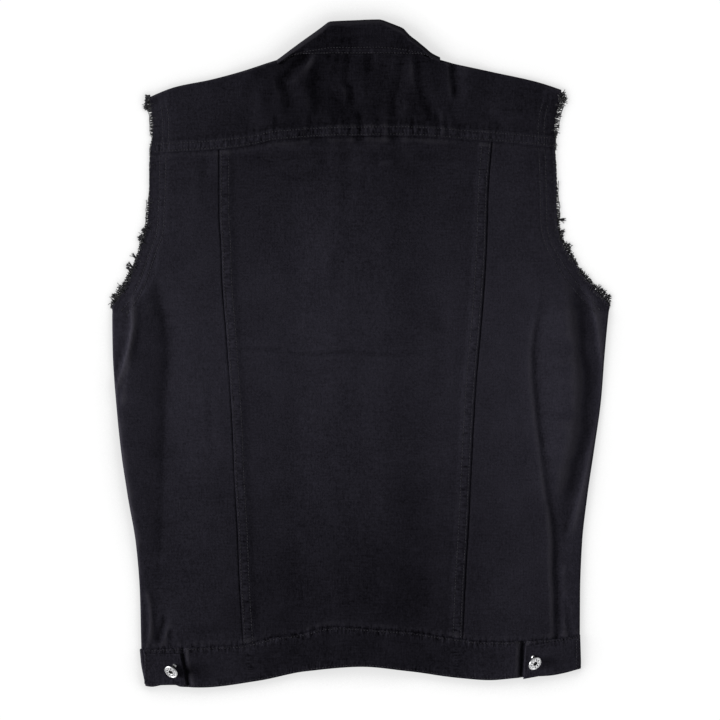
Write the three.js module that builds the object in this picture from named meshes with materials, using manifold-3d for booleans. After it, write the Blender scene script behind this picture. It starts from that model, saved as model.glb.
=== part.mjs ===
// A denim vest laid face down on a flat surface: its back is up and its collar points to +Y.
// Millimetres, +Z up. The origin is under the middle of the whole garment, on that surface.
import * as THREE from "three";
import { mergeVertices } from "three/addons/utils/BufferGeometryUtils.js";
import Module from "manifold-3d";

const wasm = await Module();
wasm.setup();
const { lerp, smoothstep } = THREE.MathUtils;

// Cloth walls and seams
const CLOTH = 1.4;
const FRONT_CLOTH = 1.3;
const COLLAR_CLOTH = 2.2;
const BAND_CLOTH = 2.4;
const FRONT_BAND_CLOTH = 1.8;
const TAB_CLOTH = 2;
const GAP = 0.3;
const HALF_GAP = GAP / 2;
const CURVED_HALF_GAP = 0.3;
const FELL_WIDTH = 11;
const FELL_RISE = 0.8;
const FELL_STEP = 1.8;
const BAND_RISE = 0.9;

// Rolled edges at the sides and shoulders
const ROLL_STEPS = 6;
const ROLL_HEIGHT = 4.7;
const ROLL_TAIL = 8;
const ROLL_REACH = ROLL_HEIGHT / 2;
const ROLL_FULL = 0.99;
const CUT_STEP = 0.35;
const UNDERARM_CUT = 52;
const UNDERARM_ROLLED = 39;

// How the layers lie: the cut edge, the soft height within and the rise over placket and collar
const CUT_HEIGHT = 2;
const CUT_SWELL = 4.5;
const CUT_SOFTNESS = 22;
const ROLL_SWELL = 1.8;
const ROLL_SOFTNESS = 30;
const PLACKET_RISE = 3.3;
const PLACKET_FLAT = 20;
const PLACKET_SPREAD = 75;
const PLACKET_FADE = [235, 275];
const NECK = { x: -2, y: 308, lift: 2.6, flat: 110, spread: 145, shelter: 30, half: [50, 85] };
const HOLE = { x: -2, y: 282, rx: 62, ry: 48, flat: 0.45, sag: 4.2 };
const LEAST_ROOM = 3.3;
const EDGE_PASSES = 5;

// Front, hidden under the back
const FRONT_INSET = 11;
const PLACKET_HALF = 18;
const PLACKET_LAP = 6;
const PLACKET_TOP = 243;
const BUTTON_TOP = 230;
const BUTTON_PITCH = 110;
const BUTTON_COUNT = 5;

// Frayed armhole edges: the stretch, a strip beside the cut cloth and the strands rooted in it
const FRAY = {
  from: 246, to: 60, rows: 18, off: 1.3, width: 1.6, thick: 1.1, lower: 0.2,
  strands: 80, root: 0.55, long: [4, 7.5], inset: 1.5, fan: 0.25, droop: [-0.04, 0.01],
};

// Buttons
const SHANK_RADIUS = 2.4;
const SHANK_FOOT = 2.8;
const CAP_SIDES = 14;
const SHANK_SIDES = 10;
const CAP_SEAT = 0.6;

const table = (columns, ...rows) =>
  rows.map((row) => Object.fromEntries(columns.map((name, i) => [name, row[i]])));

// Outline of the cloth at the armholes and the rolled sides
const SIDES = table(["y", "left", "right"],
  [-349, -225, 228], [-322, -229, 230.5], [-250, -231, 231], [-200, -235, 233],
  [-150, -243.5, 238.5], [-99, -251, 246], [-49, -256, 253], [2, -259.5, 257],
  [39, -260, 260.5], [48, -260, 261.5], [56, -254, 257], [69, -246, 245], [86, -238.5, 231],
  [102, -233, 220.5], [119, -227, 211], [128, -222.5, 208], [136, -220.5, 205],
  [153, -219.5, 203.5], [203, -218, 201.5], [237, -217, 203.5], [268, -220.5, 210]);

// Shoulder folds and the neck seam between them
const TOP = table(["x", "y"],
  [-227, 266], [-191, 280], [-158, 287], [-124, 296], [-90, 307], [-76, 311], [-67, 314],
  [-57, 318], [-42, 319], [44, 319], [57, 317.5], [65, 314.5], [71, 312], [86, 307.5],
  [103, 303], [136, 296], [178, 286], [212, 275]);

const YOKE_SEAM = table(["x", "y"],
  [-218, 210], [-178, 212], [-147, 214], [-108, 219], [-91, 223], [-65, 225], [-34, 227],
  [42, 228], [112, 224], [165, 220], [205, 216]);

const WAIST_SEAM = table(["x", "y"],
  [-229, -310], [-178, -308], [-124, -305.6], [-107, -302], [-92, -298], [-59, -293], [-36, -287],
  [-19, -286], [8, -288], [50, -291], [90, -297], [136, -302], [174, -301], [215, -298],
  [230, -295]);

const HEM = table(["x", "y"],
  [-225, -347], [-166, -350], [-107, -343], [-57, -333], [2, -328], [52, -333], [103, -340],
  [136, -342], [178, -339], [229, -331]);

const PANEL_SEAMS = table(["y", "left", "right"],
  [-301, -122, 107], [-234, -126, 110], [-183, -128, 113], [-133, -131, 115.5],
  [-82, -133, 118], [-32, -136, 121], [25, -140, 126], [77, -144, 130], [112, -145, 132],
  [148, -147, 133], [175, -147, 134], [225, -147, 138]);

const FRONT_NECKLINE = table(["x", "y"],
  [-74, 299], [-63, 287], [-47, 269], [-29, 254], [-8, 243]);

// Folds: depth is down, reach is the half width on the left and right of the path
const FOLDS = table(["name", "depth", "leftReach", "rightReach", "path"],
  ["left side", 2.6, 20, 7, [[-214, 96], [-209, 56], [-204, 30], [-200, 4], [-203, -42],
    [-206, -80], [-207, -122], [-209, -185], [-211, -243], [-214, -274]]],
  ["left roll", -1, 13, 13, [[-223, 56], [-240, 25], [-242, -7], [-236, -49], [-232, -101],
    [-227, -154], [-223, -206], [-222, -248]]],
  ["right side", 2.4, 10, 10, [[226, 72], [232, 49], [236, 0], [239, -20], [238, -56],
    [234, -80], [227, -109], [223, -143], [215, -185], [207, -217]]],
  ["right inner", 2, 6, 12, [[194, 77], [189, 47], [183, 9], [183, -12], [187, -62],
    [192, -101], [197, -143], [203, -182], [206, -238], [206, -291]]],
  ["shoulder", 2.2, 8, 7, [[-71, 311], [-82, 298], [-85, 288], [-81, 271], [-78, 254]]],
  ["yoke left", 1.1, 9, 9, [[-52, 306], [-54, 282], [-52, 245]]],
  ["yoke middle", 1.6, 7, 8, [[-17, 312], [-16, 290], [-10, 275]]],
  ["yoke right", 1.1, 8, 8, [[42, 310], [37, 275], [29, 258]]],
  ["yoke slant", 1.3, 7, 7, [[55, 312], [57, 287], [67, 262]]],
  ["right shoulder", 2, 6, 7, [[94, 300], [96, 291], [98, 270], [101, 254]]],
  ["yoke corner", 1, 8, 8, [[126, 256], [141, 243], [150, 235]]],
  ["left shoulder", 0.9, 9, 9, [[-99, 300], [-111, 283], [-116, 275], [-116, 247], [-120, 233]]],
  ["storage crease", 0.8, 6, 6, [[-134, 5], [-77, 4], [-40, 0], [42, 0], [76, 4]]]);

// Collar from its left end to its right: the leaf's low edge, its fold, the end turned under
// it, and the heights of the fold and of the underside
const COLLAR = table(["x", "low", "fold", "end", "high", "under"],
  [-87, 304.6, 310.6, 298, 10, 0.1], [-83, 306.4, 313, 298, 10.4, 0.1],
  [-79, 309, 316.4, 299, 10.8, 0.1], [-74, 311.8, 320.8, 301, 11.4, 0.1],
  [-68, 313, 325.4, 304, 11.8, 0.1], [-59, 313.6, 331, 309, 12, 0.1],
  [-48, 313.7, 338.6, 314, 12, 0.1], [-40, 313.7, 345, 317, 12, 0.6],
  [-30, 313.7, 348.2, 319.9, 11.8, 3.2], [-17, 313.7, 348.7, 319.4, 11.6, 3.4],
  [-4, 313.7, 349.2, 319.4, 11.6, 3.4], [9, 313.7, 349.8, 319.4, 11.6, 3.4],
  [22, 313.7, 350, 319.4, 11.6, 3.4], [30, 313.7, 347.6, 319.4, 11.8, 2.8],
  [38, 313.7, 344.6, 317.6, 12, 0.8], [45, 313.7, 340.4, 314, 12, 0.1],
  [52, 313.7, 333.6, 310, 12, 0.1], [60, 313.6, 327.6, 306, 11.8, 0.1],
  [68, 313.3, 321, 302, 11.4, 0.1], [75, 310.4, 315.2, 299, 10.6, 0.1],
  [80, 306.8, 312.4, 298, 10.2, 0.1], [84, 304.4, 310.6, 298, 10, 0.1]);
const COLLAR_LIFT = 0.5;
const COLLAR_ROWS = 4;
const COLLAR_RESTS_ON = [-8, -4, 0, 4, 8];
const SEWN_FROM = 319;
const SEWN_TO = 318;

// Front end of the collar on the left, seen from above
const WING = [[-83, 304], [-63, 309], [-46, 317], [-38, 306], [-27, 277], [-8, 254], [-10, 243],
  [-40, 212], [-74, 262]];
const WING_THICK = 2;

// A smooth curve through a table's rows that doesn't overshoot between them
function curve(rows, from, to) {
  const at = rows.map((row) => row[from]);
  const value = rows.map((row) => row[to]);
  const slope = at.slice(1).map((_, i) => (value[i + 1] - value[i]) / (at[i + 1] - at[i]));
  const tangent = at.map((_, i) => {
    const before = slope[Math.max(i - 1, 0)];
    const after = slope[Math.min(i, slope.length - 1)];
    return before * after > 0 ? (2 * before * after) / (before + after) : 0;
  });
  return (x) => {
    let i = at.findIndex((limit) => limit > x) - 1;
    if (i === -2) i = slope.length - 1;
    if (i < 0) i = 0;
    if (x < at[0]) return value[0] + slope[0] * (x - at[0]);
    if (x > at.at(-1)) return value.at(-1) + slope.at(-1) * (x - at.at(-1));
    const width = at[i + 1] - at[i];
    const t = (x - at[i]) / width;
    const rise = t * t * (3 - 2 * t);
    const leave = t * (1 - t) * (1 - t) * width * tangent[i];
    const arrive = t * t * (t - 1) * width * tangent[i + 1];
    return lerp(value[i], value[i + 1], rise) + leave + arrive;
  };
}

const edge = { left: curve(SIDES, "y", "left"), right: curve(SIDES, "y", "right") };
const seam = { left: curve(PANEL_SEAMS, "y", "left"), right: curve(PANEL_SEAMS, "y", "right") };
const topLine = curve(TOP, "x", "y");
const yokeSeam = curve(YOKE_SEAM, "x", "y");
const waistSeam = curve(WAIST_SEAM, "x", "y");
const hemLine = curve(HEM, "x", "y");
const neckline = curve(FRONT_NECKLINE, "x", "y");

// Where a point lies beside a fold's path: how far off, on which side, and how far along
function besidePath(path, x, y) {
  let best = { far: Infinity, side: 1, along: 0 };
  path.slice(1).forEach(([bx, by], i) => {
    const [ax, ay] = path[i];
    const [dx, dy] = [bx - ax, by - ay];
    const t = THREE.MathUtils.clamp(((x - ax) * dx + (y - ay) * dy) / (dx * dx + dy * dy), 0, 1);
    const far = Math.hypot(x - ax - t * dx, y - ay - t * dy);
    const side = Math.sign((x - ax) * dy - (y - ay) * dx) * Math.sign(dy || 1);
    if (far < best.far) best = { far, side, along: (i + t) / (path.length - 1) };
  });
  return best;
}

const FOLD_FADE = 0.14;
function foldDepth(x, y) {
  return FOLDS.reduce((sum, fold) => {
    const { far, side, along } = besidePath(fold.path, x, y);
    const reach = side < 0 ? fold.leftReach : fold.rightReach;
    const start = smoothstep(along, -FOLD_FADE, FOLD_FADE);
    const finish = 1 - smoothstep(along, 1 - FOLD_FADE, 1 + FOLD_FADE);
    return sum + fold.depth * start * finish * (1 - smoothstep(far, 0, reach));
  }, 0);
}

// Height of the lowest layer over the surface: it rises over the placket's buttons and the collar
function under(x, y) {
  const over = 1 - smoothstep(y, PLACKET_FADE[0], PLACKET_FADE[1]);
  const ridge = PLACKET_RISE * over * (1 - smoothstep(Math.abs(x), PLACKET_FLAT, PLACKET_SPREAD));
  const far = Math.hypot(x - NECK.x, y - NECK.y);
  return Math.max(ridge, NECK.lift * (1 - smoothstep(far, NECK.flat, NECK.spread)));
}

const rolled = (y) => 1 - smoothstep(y, UNDERARM_ROLLED, UNDERARM_CUT);

// Height of the back's outer face over the lowest layer, without its folds
function swell(x, y) {
  const side = Math.max(0, Math.min(x - edge.left(y), edge.right(y) - x));
  const shelter = 1 - smoothstep(Math.abs(x - NECK.x), NECK.half[0], NECK.half[1]);
  const top = Math.max(0, topLine(x) - y + NECK.shelter * shelter);
  const cut = CUT_HEIGHT + CUT_SWELL * (1 - Math.exp(-side / CUT_SOFTNESS));
  const roll = ROLL_HEIGHT + ROLL_SWELL * (1 - Math.exp(-side / ROLL_SOFTNESS));
  const shoulder = ROLL_HEIGHT + ROLL_SWELL * (1 - Math.exp(-top / ROLL_SOFTNESS));
  const atShoulder = ROLL_HEIGHT - top / 4;
  return Math.max(Math.min(lerp(cut, roll, rolled(y)), shoulder), atShoulder);
}

function backTop(x, y) {
  const far = Math.hypot((x - HOLE.x) / HOLE.rx, (y - HOLE.y) / HOLE.ry);
  const sag = HOLE.sag * (1 - smoothstep(far, HOLE.flat, 1));
  const height = under(x, y) + swell(x, y);
  const edgeRoom = Math.min(LEAST_ROOM, swell(x, y));
  return Math.max(height - sag - foldDepth(x, y), under(x, y) + edgeRoom - sag);
}

const bandTop = (x, y) => under(x, y) + swell(x, y) + BAND_RISE;

// A closed wall from sections that each hold as many outer as inner points
function wall(sections) {
  const count = sections[0].outer.length;
  const ring = 2 * count;
  const position = sections.flatMap(({ outer, inner }) => [...outer, ...inner].flat());
  const index = [];
  const quad = (a, b, c, d) => index.push(a, b, c, a, c, d);
  for (let s = 0; s + 1 < sections.length; s += 1) {
    const [a, b] = [s * ring, (s + 1) * ring];
    for (let j = 0; j + 1 < count; j += 1) {
      quad(a + j, a + j + 1, b + j + 1, b + j);
      quad(a + count + j, b + count + j, b + count + j + 1, a + count + j + 1);
    }
    quad(a, b, b + count, a + count);
    quad(a + count - 1, a + ring - 1, b + ring - 1, b + count - 1);
  }
  const last = (sections.length - 1) * ring;
  for (let j = 0; j + 1 < count; j += 1) {
    quad(j, j + count, j + count + 1, j + 1);
    quad(last + j, last + j + 1, last + j + count + 1, last + j + count);
  }
  return outward(position, index);
}

// Turns a closed mesh right side out
function outward(position, index) {
  const geometry = new THREE.BufferGeometry();
  geometry.setAttribute("position", new THREE.Float32BufferAttribute(position, 3));
  const [a, b, c] = [new THREE.Vector3(), new THREE.Vector3(), new THREE.Vector3()];
  let volume = 0;
  for (let i = 0; i < index.length; i += 3) {
    a.fromArray(position, 3 * index[i]);
    b.fromArray(position, 3 * index[i + 1]);
    c.fromArray(position, 3 * index[i + 2]);
    volume += a.dot(b.cross(c));
  }
  geometry.setIndex(volume < 0 ? index.toReversed() : index);
  geometry.computeVertexNormals();
  return geometry;
}

function toSolid(geometry) {
  const bare = geometry.clone();
  bare.deleteAttribute("normal");
  bare.deleteAttribute("uv");
  const merged = mergeVertices(bare);
  return new wasm.Manifold(new wasm.Mesh({
    numProp: 3,
    vertProperties: new Float32Array(merged.attributes.position.array),
    triVerts: new Uint32Array(merged.index.array),
  }));
}

function join(geometries) {
  const solid = geometries.map(toSolid).reduce((sum, next) => sum.add(next));
  const mesh = solid.getMesh();
  const joined = new THREE.BufferGeometry();
  joined.setAttribute("position", new THREE.BufferAttribute(mesh.vertProperties, 3));
  joined.setIndex(new THREE.BufferAttribute(mesh.triVerts, 1));
  joined.computeVertexNormals();
  return joined;
}

// The end of a section, from where it leaves the top face: share 0 is a cut edge, 1 a full roll.
// Each point has its distance out, its drop, and the direction that its face looks in.
function rollEnd(height, share, tail = ROLL_TAIL) {
  const turn = Math.PI * share;
  const middles = Array.from({ length: ROLL_STEPS }, (_, k) => (k + 0.5) / ROLL_STEPS);
  const fullDrop = middles.reduce((sum, middle) => sum + Math.sin(Math.PI * middle), 0);
  const step = lerp(CUT_STEP, height / fullDrop, share);
  const points = [];
  let [out, drop] = [0, 0];
  middles.forEach((middle, k) => {
    out += step * Math.cos(turn * middle);
    drop += step * Math.sin(turn * middle);
    points.push({ out, drop, facing: turn * (k + 1) / ROLL_STEPS });
  });
  const last = share > ROLL_FULL ? tail : CUT_STEP;
  out += last * Math.cos(turn);
  drop += last * Math.sin(turn);
  points.push({ out, drop, facing: turn });
  return { points, reach: Math.max(...points.map((point) => point.out)) };
}

// Outer and inner points of a rolled end that leaves from start; place gives x and y, a distance out
function rollPoints(height, end, thick, flatPlace) {
  const place = (out, drop) => [...flatPlace(out), Math.max(0, height - drop)];
  return {
    outer: end.points.map(({ out, drop }) => place(out, drop)),
    inner: end.points.map(({ out, drop, facing }) =>
      place(out - thick * Math.sin(facing), drop + thick * Math.cos(facing))),
  };
}

const steps = (from, to, count) =>
  Array.from({ length: count + 1 }, (_, i) => lerp(from, to, i / count));

// A point of a panel between the yoke seam and the waist seam, on a lane that runs down it
function panelPoint(lane, share) {
  let [x, y] = [0, 0];
  for (let pass = 0; pass < EDGE_PASSES; pass += 1) {
    x = lane(y);
    y = lerp(yokeSeam(x) - CURVED_HALF_GAP, waistSeam(x) + CURVED_HALF_GAP, share);
  }
  return [x, y];
}

const lowered = (points, thick) => points.map(([x, y, z]) => [x, y, z - thick]);

// Rows are shares of the way from the yoke seam to the waist seam, closer at the storage crease
const CENTRE_LANES = 12;
const CENTRE_ROWS = [...steps(0, 0.415, 9), 0.43, 0.438, 0.446, ...steps(0.47, 1, 11)];
function centrePanel() {
  const fromLeft = (offset) => (y) => seam.left(y) + offset;
  const fromRight = (offset) => (y) => seam.right(y) - offset;
  const between = steps(0, 1, CENTRE_LANES).slice(1, -1)
    .map((t) => (y) => lerp(seam.left(y) + FELL_WIDTH, seam.right(y) - FELL_WIDTH, t));
  const lanes = [fromLeft(HALF_GAP), fromLeft(FELL_WIDTH), fromLeft(FELL_WIDTH + FELL_STEP),
    ...between, fromRight(FELL_WIDTH + FELL_STEP), fromRight(FELL_WIDTH), fromRight(HALF_GAP)];
  const raised = (i) => i < 2 || i > lanes.length - 3;
  return wall(CENTRE_ROWS.map((share) => {
    const flat = lanes.map((lane) => {
      const [x, y] = panelPoint(lane, share);
      return [x, y, backTop(x, y)];
    });
    const outer = flat.map(([x, y, z], i) => [x, y, z + (raised(i) ? FELL_RISE : 0)]);
    return { outer, inner: lowered(flat, CLOTH) };
  }));
}

// Rows are closer where the armhole's cut edge turns into the rolled side; lanes follow the folds
const SIDE_ROWS = [...steps(0, 0.28, 6), 0.308, 0.319, 0.33, ...steps(0.365, 1, 13)];
const fold = (name) => curve(
  FOLDS.find((row) => row.name === name).path.map(([x, y]) => ({ x, y })).reverse(), "y", "x");
const leftFold = fold("left side");
const rightFold = fold("right side");
const rightInner = fold("right inner");
const RIGHT_FOLDS_APART = 15;
const outerFold = (y) => Math.max(rightFold(y), rightInner(y) + RIGHT_FOLDS_APART);
const SIDE_LANES = {
  left: [(y) => leftFold(y) + 7, leftFold, (y) => leftFold(y) - 8, (y) => leftFold(y) - 17],
  right: [(y) => rightInner(y) - 6, rightInner, (y) => rightInner(y) + 8, (y) => outerFold(y) - 8,
    outerFold, (y) => outerFold(y) + 9],
};
const PLAIN_LANES = { left: 4, right: 3 };
function sidePanel(side) {
  const away = side === "left" ? -1 : 1;
  const start = (y) => seam[side](y) + away * HALF_GAP;
  const shaped = SIDE_LANES[side];
  const plain = steps(0, 1, PLAIN_LANES[side]).slice(0, -1)
    .map((t) => (y) => lerp(start(y), shaped[0](y), t));
  return wall(SIDE_ROWS.map((share) => {
    const [edgeX, edgeY] = panelPoint(edge[side], share);
    const turned = rolled(edgeY);
    const roomAbove = backTop(edgeX - away * ROLL_REACH, edgeY) - under(edgeX, edgeY);
    const end = rollEnd(roomAbove, turned);
    const lastX = (y) => edge[side](y) - away * end.reach;
    const inside = (lane, left) => (y) => {
      const limit = lastX(y) - away * 2 * left;
      return away < 0 ? Math.max(lane(y), limit) : Math.min(lane(y), limit);
    };
    const lanes = [...plain, ...shaped.map((lane, i) => inside(lane, shaped.length - i)), lastX];
    const outer = lanes.map((lane) => {
      const [x, y] = panelPoint(lane, share);
      return [x, y, backTop(x, y)];
    });
    outer.at(-1)[2] = under(edgeX, edgeY) + roomAbove;
    const [startX, , height] = outer.at(-1);
    const roll = rollPoints(height, end, CLOTH, (out) => panelPoint(() => startX + away * out, share));
    return { outer: [...outer, ...roll.outer], inner: [...lowered(outer, CLOTH), ...roll.inner] };
  }));
}

// Columns are closer where the yoke's folds are and where its top turns from cut to rolled
const YOKE_COLUMNS = [...steps(-219, -122, 6), ...steps(-114, -92, 3), ...steps(-87, -57, 6),
  ...steps(-50, 106, 22), ...steps(115, 155, 4), ...steps(167, 207, 3)];
const NECK_SIDES = { left: [-76, -66], right: [64, 74] };
const YOKE_ROWS = 5;
const YOKE_BLEND = 70;
function backYoke() {
  const [first, final] = [YOKE_COLUMNS[0], YOKE_COLUMNS.at(-1)];
  return wall(YOKE_COLUMNS.map((column) => {
    const nearLeft = 1 - smoothstep(column, first, first + YOKE_BLEND);
    const nearRight = smoothstep(column, final - YOKE_BLEND, final);
    const across = (y) =>
      column + nearLeft * (edge.left(y) - first) + nearRight * (edge.right(y) - final);
    const turned = column < 0
      ? 1 - smoothstep(column, NECK_SIDES.left[0], NECK_SIDES.left[1])
      : smoothstep(column, NECK_SIDES.right[0], NECK_SIDES.right[1]);
    const bottom = yokeSeam(across(yokeSeam(column))) + CURVED_HALF_GAP;
    const top = topLine(column) - lerp(CURVED_HALF_GAP, 0, turned);
    const end = rollEnd(ROLL_HEIGHT, turned);
    const last = top - end.reach;
    const rows = [bottom, bottom + FELL_WIDTH,
      ...steps(bottom + FELL_WIDTH + FELL_STEP, last, YOKE_ROWS)];
    const flat = rows.map((y) => [across(y), y, backTop(across(y), y)]);
    if (turned > ROLL_FULL) flat.at(-1)[2] = under(across(last), last) + ROLL_HEIGHT;
    const outer = flat.map(([x, y, z], i) => [x, y, z + (i < 2 ? FELL_RISE : 0)]);
    const [lastX, lastY, height] = flat.at(-1);
    const roll = rollPoints(height, end, CLOTH, (out) => [lastX, lastY + out]);
    return { outer: [...outer, ...roll.outer], inner: [...lowered(flat, CLOTH), ...roll.inner] };
  }));
}

const BAND_ROWS = 4;
const BAND_COLUMNS = 32;
const BAND_HALF = 230;
function backWaistband() {
  return wall(steps(0, 1, BAND_ROWS).map((share) => {
    const rowY = (x) => lerp(waistSeam(x) - CURVED_HALF_GAP, hemLine(x), share);
    const ends = ["left", "right"].map((side) => {
      const away = side === "left" ? -1 : 1;
      const edgeX = edge[side](rowY(away * BAND_HALF));
      const height = bandTop(edgeX - away * ROLL_REACH, rowY(edgeX));
      const end = rollEnd(height, 1);
      const startX = edgeX - away * end.reach;
      const place = (out) => [startX + away * out, rowY(startX + away * out)];
      return { start: [...place(0), height], roll: rollPoints(height, end, BAND_CLOTH, place) };
    });
    const [left, right] = ends;
    const top = steps(left.start[0], right.start[0], BAND_COLUMNS)
      .map((x) => [x, rowY(x), bandTop(x, rowY(x))]);
    top[0] = left.start;
    top[BAND_COLUMNS] = right.start;
    return {
      outer: [...left.roll.outer.toReversed(), ...top, ...right.roll.outer],
      inner: [...left.roll.inner.toReversed(), ...lowered(top, BAND_CLOTH), ...right.roll.inner],
    };
  }));
}

// A tab on the waistband, made from the band's own heights; near and far are its ends
const TABS = {
  left: { near: -226, far: [-191, -183], top: [-314, -314], bottom: [-346, -347] },
  right: { near: 227, far: [173, 171], top: [-297.5, -306.5], bottom: [-330, -337.5] },
};
const TAB_LIFT = 1.2;
const TAB_COLUMNS = 6;
function tab(side) {
  const { near, far, top, bottom } = TABS[side];
  return wall(steps(0, 1, 2).map((down) => {
    const low = steps(0, 1, TAB_COLUMNS).map((t) => {
      const x = lerp(near, lerp(far[0], far[1], down), t);
      const y = lerp(lerp(top[0], top[1], t), lerp(bottom[0], bottom[1], t), down);
      return [x, y, bandTop(x, y) + GAP + TAB_LIFT * t * t];
    });
    return { outer: lowered(low, -TAB_CLOTH), inner: low };
  }));
}

// Leaf, fold and stand of the collar behind the neck, with the two front ends joined on
function collarSection({ x, low, fold: foldY, end, high, under: bottom }) {
  const roll = rollEnd(high - bottom, 1, 0);
  const last = foldY - roll.reach;
  const yoke = (y) => Math.max(...COLLAR_RESTS_ON
    .map((off) => backTop(x + off, Math.min(y, topLine(x) - 1))));
  const leaf = (y) => yoke(y) + COLLAR_LIFT + COLLAR_CLOTH;
  const first = Math.min(low, last - 1);
  const top = steps(first, last, COLLAR_ROWS).map((y, i) => {
    const t = smoothstep(i / COLLAR_ROWS, 0, 1);
    return [x, y, Math.max(lerp(leaf(first), high, t), Math.min(leaf(y), high))];
  });
  top[COLLAR_ROWS][2] = high;
  const around = rollPoints(high, roll, COLLAR_CLOTH, (out) => [x, last + out]);
  around.outer.pop();
  around.inner.pop();
  const stand = Math.max(bottom, end > SEWN_FROM ? backTop(x, SEWN_TO) - COLLAR_CLOTH : bottom);
  const tail = [[x, lerp(last, end, 0.5), lerp(bottom, stand, 0.5)],
    [x, Math.min(end, last - 0.5), stand]];
  return {
    outer: [...top, ...around.outer, ...tail],
    inner: [...lowered(top, COLLAR_CLOTH), ...around.inner, ...lowered(tail, -COLLAR_CLOTH)],
  };
}

function wing(mirror) {
  const middle = 2 * NECK.x;
  const outline = new THREE.Shape(WING.map(([x, y]) => new THREE.Vector2(mirror ? middle - x : x, y)));
  return new THREE.ExtrudeGeometry(outline, { depth: WING_THICK, bevelEnabled: false });
}

function collar() {
  return join([wall(COLLAR.map(collarSection)), wing(false), wing(true)]);
}

// Front of one side, lying flat but for its rise over the placket and the collar's ends
const FRONT_COLUMNS = 9;
const FRONT_ROWS = 18;
const FRONT_MIDDLE = 150;
function front(side) {
  const away = side === "left" ? -1 : 1;
  const inner = away * (PLACKET_HALF + HALF_GAP);
  const neckX = (x) => 2 * NECK.x - Math.abs(x - NECK.x) - NECK.x;
  const topAt = (x) => {
    const shoulder = topLine(x) - ROLL_REACH - ROLL_TAIL - GAP;
    return neckX(x) > FRONT_NECKLINE[0].x ? Math.min(shoulder, neckline(neckX(x))) : shoulder;
  };
  return wall(steps(0, 1, FRONT_ROWS).map((up) => {
    const outer = steps(0, 1, FRONT_COLUMNS).map((t) => {
      let [x, y] = [away * FRONT_MIDDLE, 0];
      for (let pass = 0; pass < EDGE_PASSES; pass += 1) {
        y = lerp(waistSeam(x) + CURVED_HALF_GAP, topAt(x), up);
        x = lerp(inner, edge[side](y) - away * FRONT_INSET, t);
      }
      return [x, y, under(x, y)];
    });
    return { outer, inner: lowered(outer, -FRONT_CLOTH) };
  }));
}

// A flat strip between two x and two y, from one height to another
function strip(x0, x1, y0, y1, z0, z1) {
  const box = new THREE.BoxGeometry(x1 - x0, y1 - y0, z1 - z0);
  return box.translate((x0 + x1) / 2, (y0 + y1) / 2, (z0 + z1) / 2);
}

const LOW_LAYER = PLACKET_RISE;
const HIGH_LAYER = PLACKET_RISE + FRONT_CLOTH + GAP;
function placketBand(right, layer) {
  const foot = Math.max(waistSeam(-PLACKET_HALF), waistSeam(PLACKET_HALF)) + 1;
  return strip(-PLACKET_HALF, right, foot, PLACKET_TOP, layer, layer + FRONT_CLOTH);
}

// Front waistband of one side; the right one lies over the left one at the placket
const FRONT_BAND_COLUMNS = 12;
const FRONT_LAP = 45;
function frontWaistband(side) {
  const away = side === "left" ? -1 : 1;
  const raise = side === "left" ? 0 : FRONT_BAND_CLOTH + GAP;
  return wall(steps(0, 1, 2).map((down) => {
    const outer = steps(0, 1, FRONT_BAND_COLUMNS).map((t) => {
      const y = lerp(waistSeam(away * BAND_HALF), hemLine(away * BAND_HALF), down);
      const x = lerp(-away * PLACKET_HALF, edge[side](y) - away * (FRONT_INSET + 1), t);
      const over = raise * (1 - smoothstep(x, PLACKET_FLAT, FRONT_LAP));
      return [x, lerp(waistSeam(x) - CURVED_HALF_GAP, hemLine(x), down), under(x, y) + over];
    });
    return { outer, inner: lowered(outer, -FRONT_BAND_CLOTH) };
  }));
}

// Repeatable scatter between 0 and 1
const SCATTER = { step: 12.9898, salt: 78.233, scale: 43758.5453 };
const scatter = (i, salt) => {
  const wave = Math.sin(i * SCATTER.step + salt * SCATTER.salt) * SCATTER.scale;
  return wave - Math.floor(wave);
};

function frayedEdge(side) {
  const away = side === "left" ? -1 : 1;
  const rows = steps(FRAY.from, FRAY.to, FRAY.rows);
  const slant = (y) => (edge[side](y + 2) - edge[side](y - 2)) / 4;
  const height = (y) => backTop(edge[side](y), y) - FRAY.lower;
  const backing = wall(rows.map((y) => {
    const tilt = Math.hypot(1, slant(y));
    const near = edge[side](y) + away * FRAY.off * tilt;
    const far = near + away * FRAY.width * tilt;
    const outer = [[near, y, height(y)], [far, y, height(y)]];
    return { outer, inner: lowered(outer, FRAY.thick) };
  }));
  const strands = Array.from({ length: FRAY.strands }, (_, i) => {
    const share = (i + lerp(0.3, 0.7, scatter(i, 1))) / FRAY.strands;
    const y = lerp(FRAY.from - FRAY.inset, FRAY.to + FRAY.inset, share);
    const long = lerp(FRAY.long[0], FRAY.long[1], scatter(i, 2));
    const tilt = Math.hypot(1, slant(y));
    const x = edge[side](y) + away * (FRAY.off + FRAY.width / 2) * tilt;
    const turn = Math.atan2(-slant(y), 1) * away + lerp(-FRAY.fan, FRAY.fan, scatter(i, 3));
    const drop = lerp(FRAY.droop[0], FRAY.droop[1], scatter(i, 4));
    const cone = new THREE.ConeGeometry(FRAY.root, long, 3, 1);
    cone.translate(0, long / 2, 0);
    cone.rotateZ(-Math.PI / 2);
    cone.rotateY(drop);
    cone.rotateZ(turn);
    if (away < 0) cone.rotateZ(Math.PI - 2 * turn);
    return cone.translate(x, y, height(y) - FRAY.thick / 2);
  });
  return join([backing, ...strands]);
}

// Dished cap with a rolled rim and a rivet ring in its middle, from under its middle to over it
const CAP = table(["r", "z"],
  [0, 0], [6.6, 0], [7.5, 0.7], [7.4, 1.5], [6.7, 1.9], [5.8, 1.4], [2.6, 1.3], [2.1, 1.9],
  [1.3, 1.8], [0.9, 1.2], [0, 1.2]);

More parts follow.
